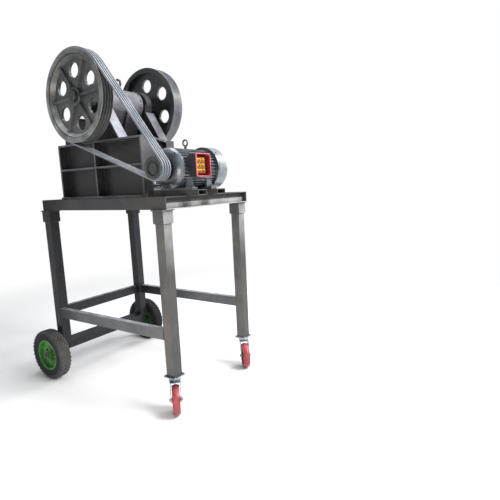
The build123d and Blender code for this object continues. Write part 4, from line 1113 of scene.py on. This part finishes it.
class CRUSHER_OT_welds(Operator):
    """Weld beads of the stand and of the crusher's ribs"""

    bl_idname = "crusher.welds"
    bl_label = "Welds"

    def execute(self, context):
        sizes = context.scene.crusher_detail
        width = sizes.weld_width
        leg_low, leg_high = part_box("legs")
        low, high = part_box("lower_rails")
        runs = []
        for x in (leg_low.x + LEG_SIZE, leg_high.x - LEG_SIZE):
            for y in (low.y, high.y, low.y + RAIL_SIZE, high.y - RAIL_SIZE):
                runs.append(((x, y, low.z + width), (x, y, high.z - width), width))
            for y in (low.y, high.y - RAIL_SIZE):
                for z in (low.z, high.z):
                    runs.append(((x, y + width, z), (x, y + RAIL_SIZE - width, z), width))
        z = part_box("leg_sockets")[0].z
        for x, inner_x in ((leg_low.x, leg_low.x + LEG_SIZE), (leg_high.x, leg_high.x - LEG_SIZE)):
            for y, inner_y in ((leg_low.y, leg_low.y + LEG_SIZE), (leg_high.y, leg_high.y - LEG_SIZE)):
                corners = ((x, y, z), (inner_x, y, z), (inner_x, inner_y, z), (x, inner_y, z))
                for here, there in zip(corners, corners[1:] + corners[:1]):
                    runs.append((here, there, width * 0.8))
        place_welds(runs, sizes.weld_pitch, "stand_welds", "stand_paint", "stand_paint")
        for label, side in SIDES:
            plate = f"side_plate_{label}"
            low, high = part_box(plate)
            wall = outer_y(plate, side) - side.y * FOOT_DEPTH
            left = low.x + RIB_WIDTH
            right = high.x - FOOT_OVERHANG - RIB_WIDTH
            panel = low.x + PANEL_RIB
            runs = []
            bays = ((RIB_WIDTH, MID_RIB), (MID_RIB + RIB_WIDTH, BODY_TOP - RIB_WIDTH))
            for rise in (*bays[0], *bays[1]):
                runs.append(((left, wall, low.z + rise), (right, wall, low.z + rise), width))
            for x in (left, panel, panel + RIB_WIDTH, right):
                for bottom, top in bays:
                    runs.append(((x, wall, low.z + bottom), (x, wall, low.z + top), width))
            place_welds(runs, sizes.weld_pitch, f"rib_welds_{label}", "crusher_paint", "crusher_paint")
        return {"FINISHED"}


def view_axes(heading, pitch, roll):
    """Right, up and backward of the camera."""
    level = Vector((math.cos(heading), math.sin(heading), 0))
    ahead = Vector((-math.sin(heading), math.cos(heading), 0))
    forward = ahead * math.cos(pitch) + UP * math.sin(pitch)
    upright = level.cross(forward)
    right = level * math.cos(roll) + upright * math.sin(roll)
    return right, upright * math.cos(roll) - level * math.sin(roll), -forward


def area_lamp(name, point, target, size, power, colour=(1, 1, 1)):
    """Soft square lamp that faces its target."""
    bpy.ops.object.light_add(type="AREA", location=point)
    lamp = bpy.context.object
    lamp.name = name
    lamp.data.size = size
    lamp.data.energy = power
    lamp.data.color = colour
    lamp.rotation_euler = (Vector(target) - Vector(point)).to_track_quat("-Z", "Y").to_euler()


def floor_finish(fade_start, fade_end):
    """Pale floor that fades to white away from the machine."""
    material, tree, shader = node_material("studio_floor")
    feed(shader, {"Base Color": (0.86, 0.86, 0.86, 1), "Roughness": 0.9, "Specular IOR Level": 0.1})
    reach = node(tree, "VectorMath", {0: place(tree)}, "Value", operation="LENGTH")
    fade = between(reach, fade_start, fade_end)
    rays = node(tree, "LightPath", {}).node.outputs
    seen = maths("MAXIMUM", rays["Is Camera Ray"], rays["Is Glossy Ray"])
    white = node(tree, "Emission", {"Strength": 1.0})
    mix = node(tree, "MixShader", {"Fac": product(fade, seen), 1: shader.outputs["BSDF"], 2: white})
    feed(tree.nodes["Material Output"], {"Surface": mix})
    return material


def studio_world(strength):
    """Even pale light, with white behind the machine."""
    world = bpy.data.worlds.new("studio_world")
    bpy.context.scene.world = world
    world.use_nodes = True
    tree = world.node_tree
    light = tree.nodes["Background"]
    feed(light, {"Color": (0.93, 0.95, 1.0, 1), "Strength": strength})
    behind = node(tree, "Background", {"Color": (1, 1, 1, 1), "Strength": 1.0})
    seen = node(tree, "LightPath", {}, "Is Camera Ray")
    mix = node(tree, "MixShader", {"Fac": seen, 1: light.outputs["Background"], 2: behind})
    feed(tree.nodes["World Output"], {"Surface": mix})


class CRUSHER_OT_stage(Operator):
    """Floor, studio light and the camera at the photograph's angle"""

    bl_idname = "crusher.stage"
    bl_label = "Stage"

    def execute(self, context):
        clear_selection()
        scene = context.scene
        scene.view_settings.view_transform = "Standard"
        bpy.ops.mesh.primitive_circle_add(vertices=96, radius=40.0, fill_type="NGON")
        floor = context.object
        floor.name = "studio_floor"
        floor.data.materials.append(floor_finish(2.2, 5.0))
        studio_world(0.27)
        aim = (0, 0, 1.2)
        low_aim = (0.3, -0.4, 0.7)
        area_lamp("key_lamp", (4.6, 0.9, 4.6), aim, 2.6, 460)
        area_lamp("fill_lamp", (-2.6, -4.8, 3.0), aim, 3.5, 20, (0.95, 0.97, 1.0))
        area_lamp("low_lamp", (1.9, -2.3, 0.9), low_aim, 1.2, 26, (1.0, 0.93, 0.84))
        area_lamp("back_lamp", (1.8, 4.6, 3.2), aim, 3.0, 190)
        area_lamp("top_lamp", (0.3, 0.4, 5.6), aim, 3.0, 170, (0.97, 0.98, 1.0))
        sizes = scene.crusher_camera
        turn = Matrix(view_axes(sizes.heading, sizes.pitch, sizes.roll)).transposed()
        point = Vector(sizes.place) + REAR * middle("frame_sides").x
        bpy.ops.object.camera_add(location=point)
        camera = context.object
        camera.name = "photo_camera"
        camera.matrix_world = Matrix.Translation(point) @ turn.to_4x4()
        camera.data.lens = sizes.lens
        camera.data.sensor_width = 36.0
        scene.camera = camera
        return {"FINISHED"}


OPERATORS = (
    CRUSHER_OT_finishes, CRUSHER_OT_tyres, CRUSHER_OT_hubs, CRUSHER_OT_crusher_bolts,
    CRUSHER_OT_motor_details, CRUSHER_OT_terminals, CRUSHER_OT_castor_details, CRUSHER_OT_welds,
    CRUSHER_OT_stage,
)


class CRUSHER_PT_panel(Panel):
    """Lists the machine's pieces in the sidebar"""

    bl_idname = "CRUSHER_PT_panel"
    bl_label = "Jaw crusher"
    bl_space_type = "VIEW_3D"
    bl_region_type = "UI"
    bl_category = "Jaw crusher"

    def draw(self, context):
        for operator in OPERATORS:
            self.layout.operator(operator.bl_idname)


SIZES = {"crusher_finish": FinishSizes, "crusher_detail": DetailSizes, "crusher_camera": CameraSizes}
CLASSES = (*SIZES.values(), *OPERATORS, CRUSHER_PT_panel)


def register():
    """Register the classes and hang the sizes on the scene."""
    for each in CLASSES:
        bpy.utils.register_class(each)
    for name, sizes in SIZES.items():
        setattr(Scene, name, PointerProperty(type=sizes))


def unregister():
    """Take the sizes and the classes away again."""
    for name in SIZES:
        delattr(Scene, name)
    for each in reversed(CLASSES):
        bpy.utils.unregister_class(each)


def main():
    """Make every piece."""
    register()
    for operator in OPERATORS:
        area, verb = operator.bl_idname.split(".")
        getattr(getattr(bpy.ops, area), verb)()


if __name__ == "__main__":
    main()
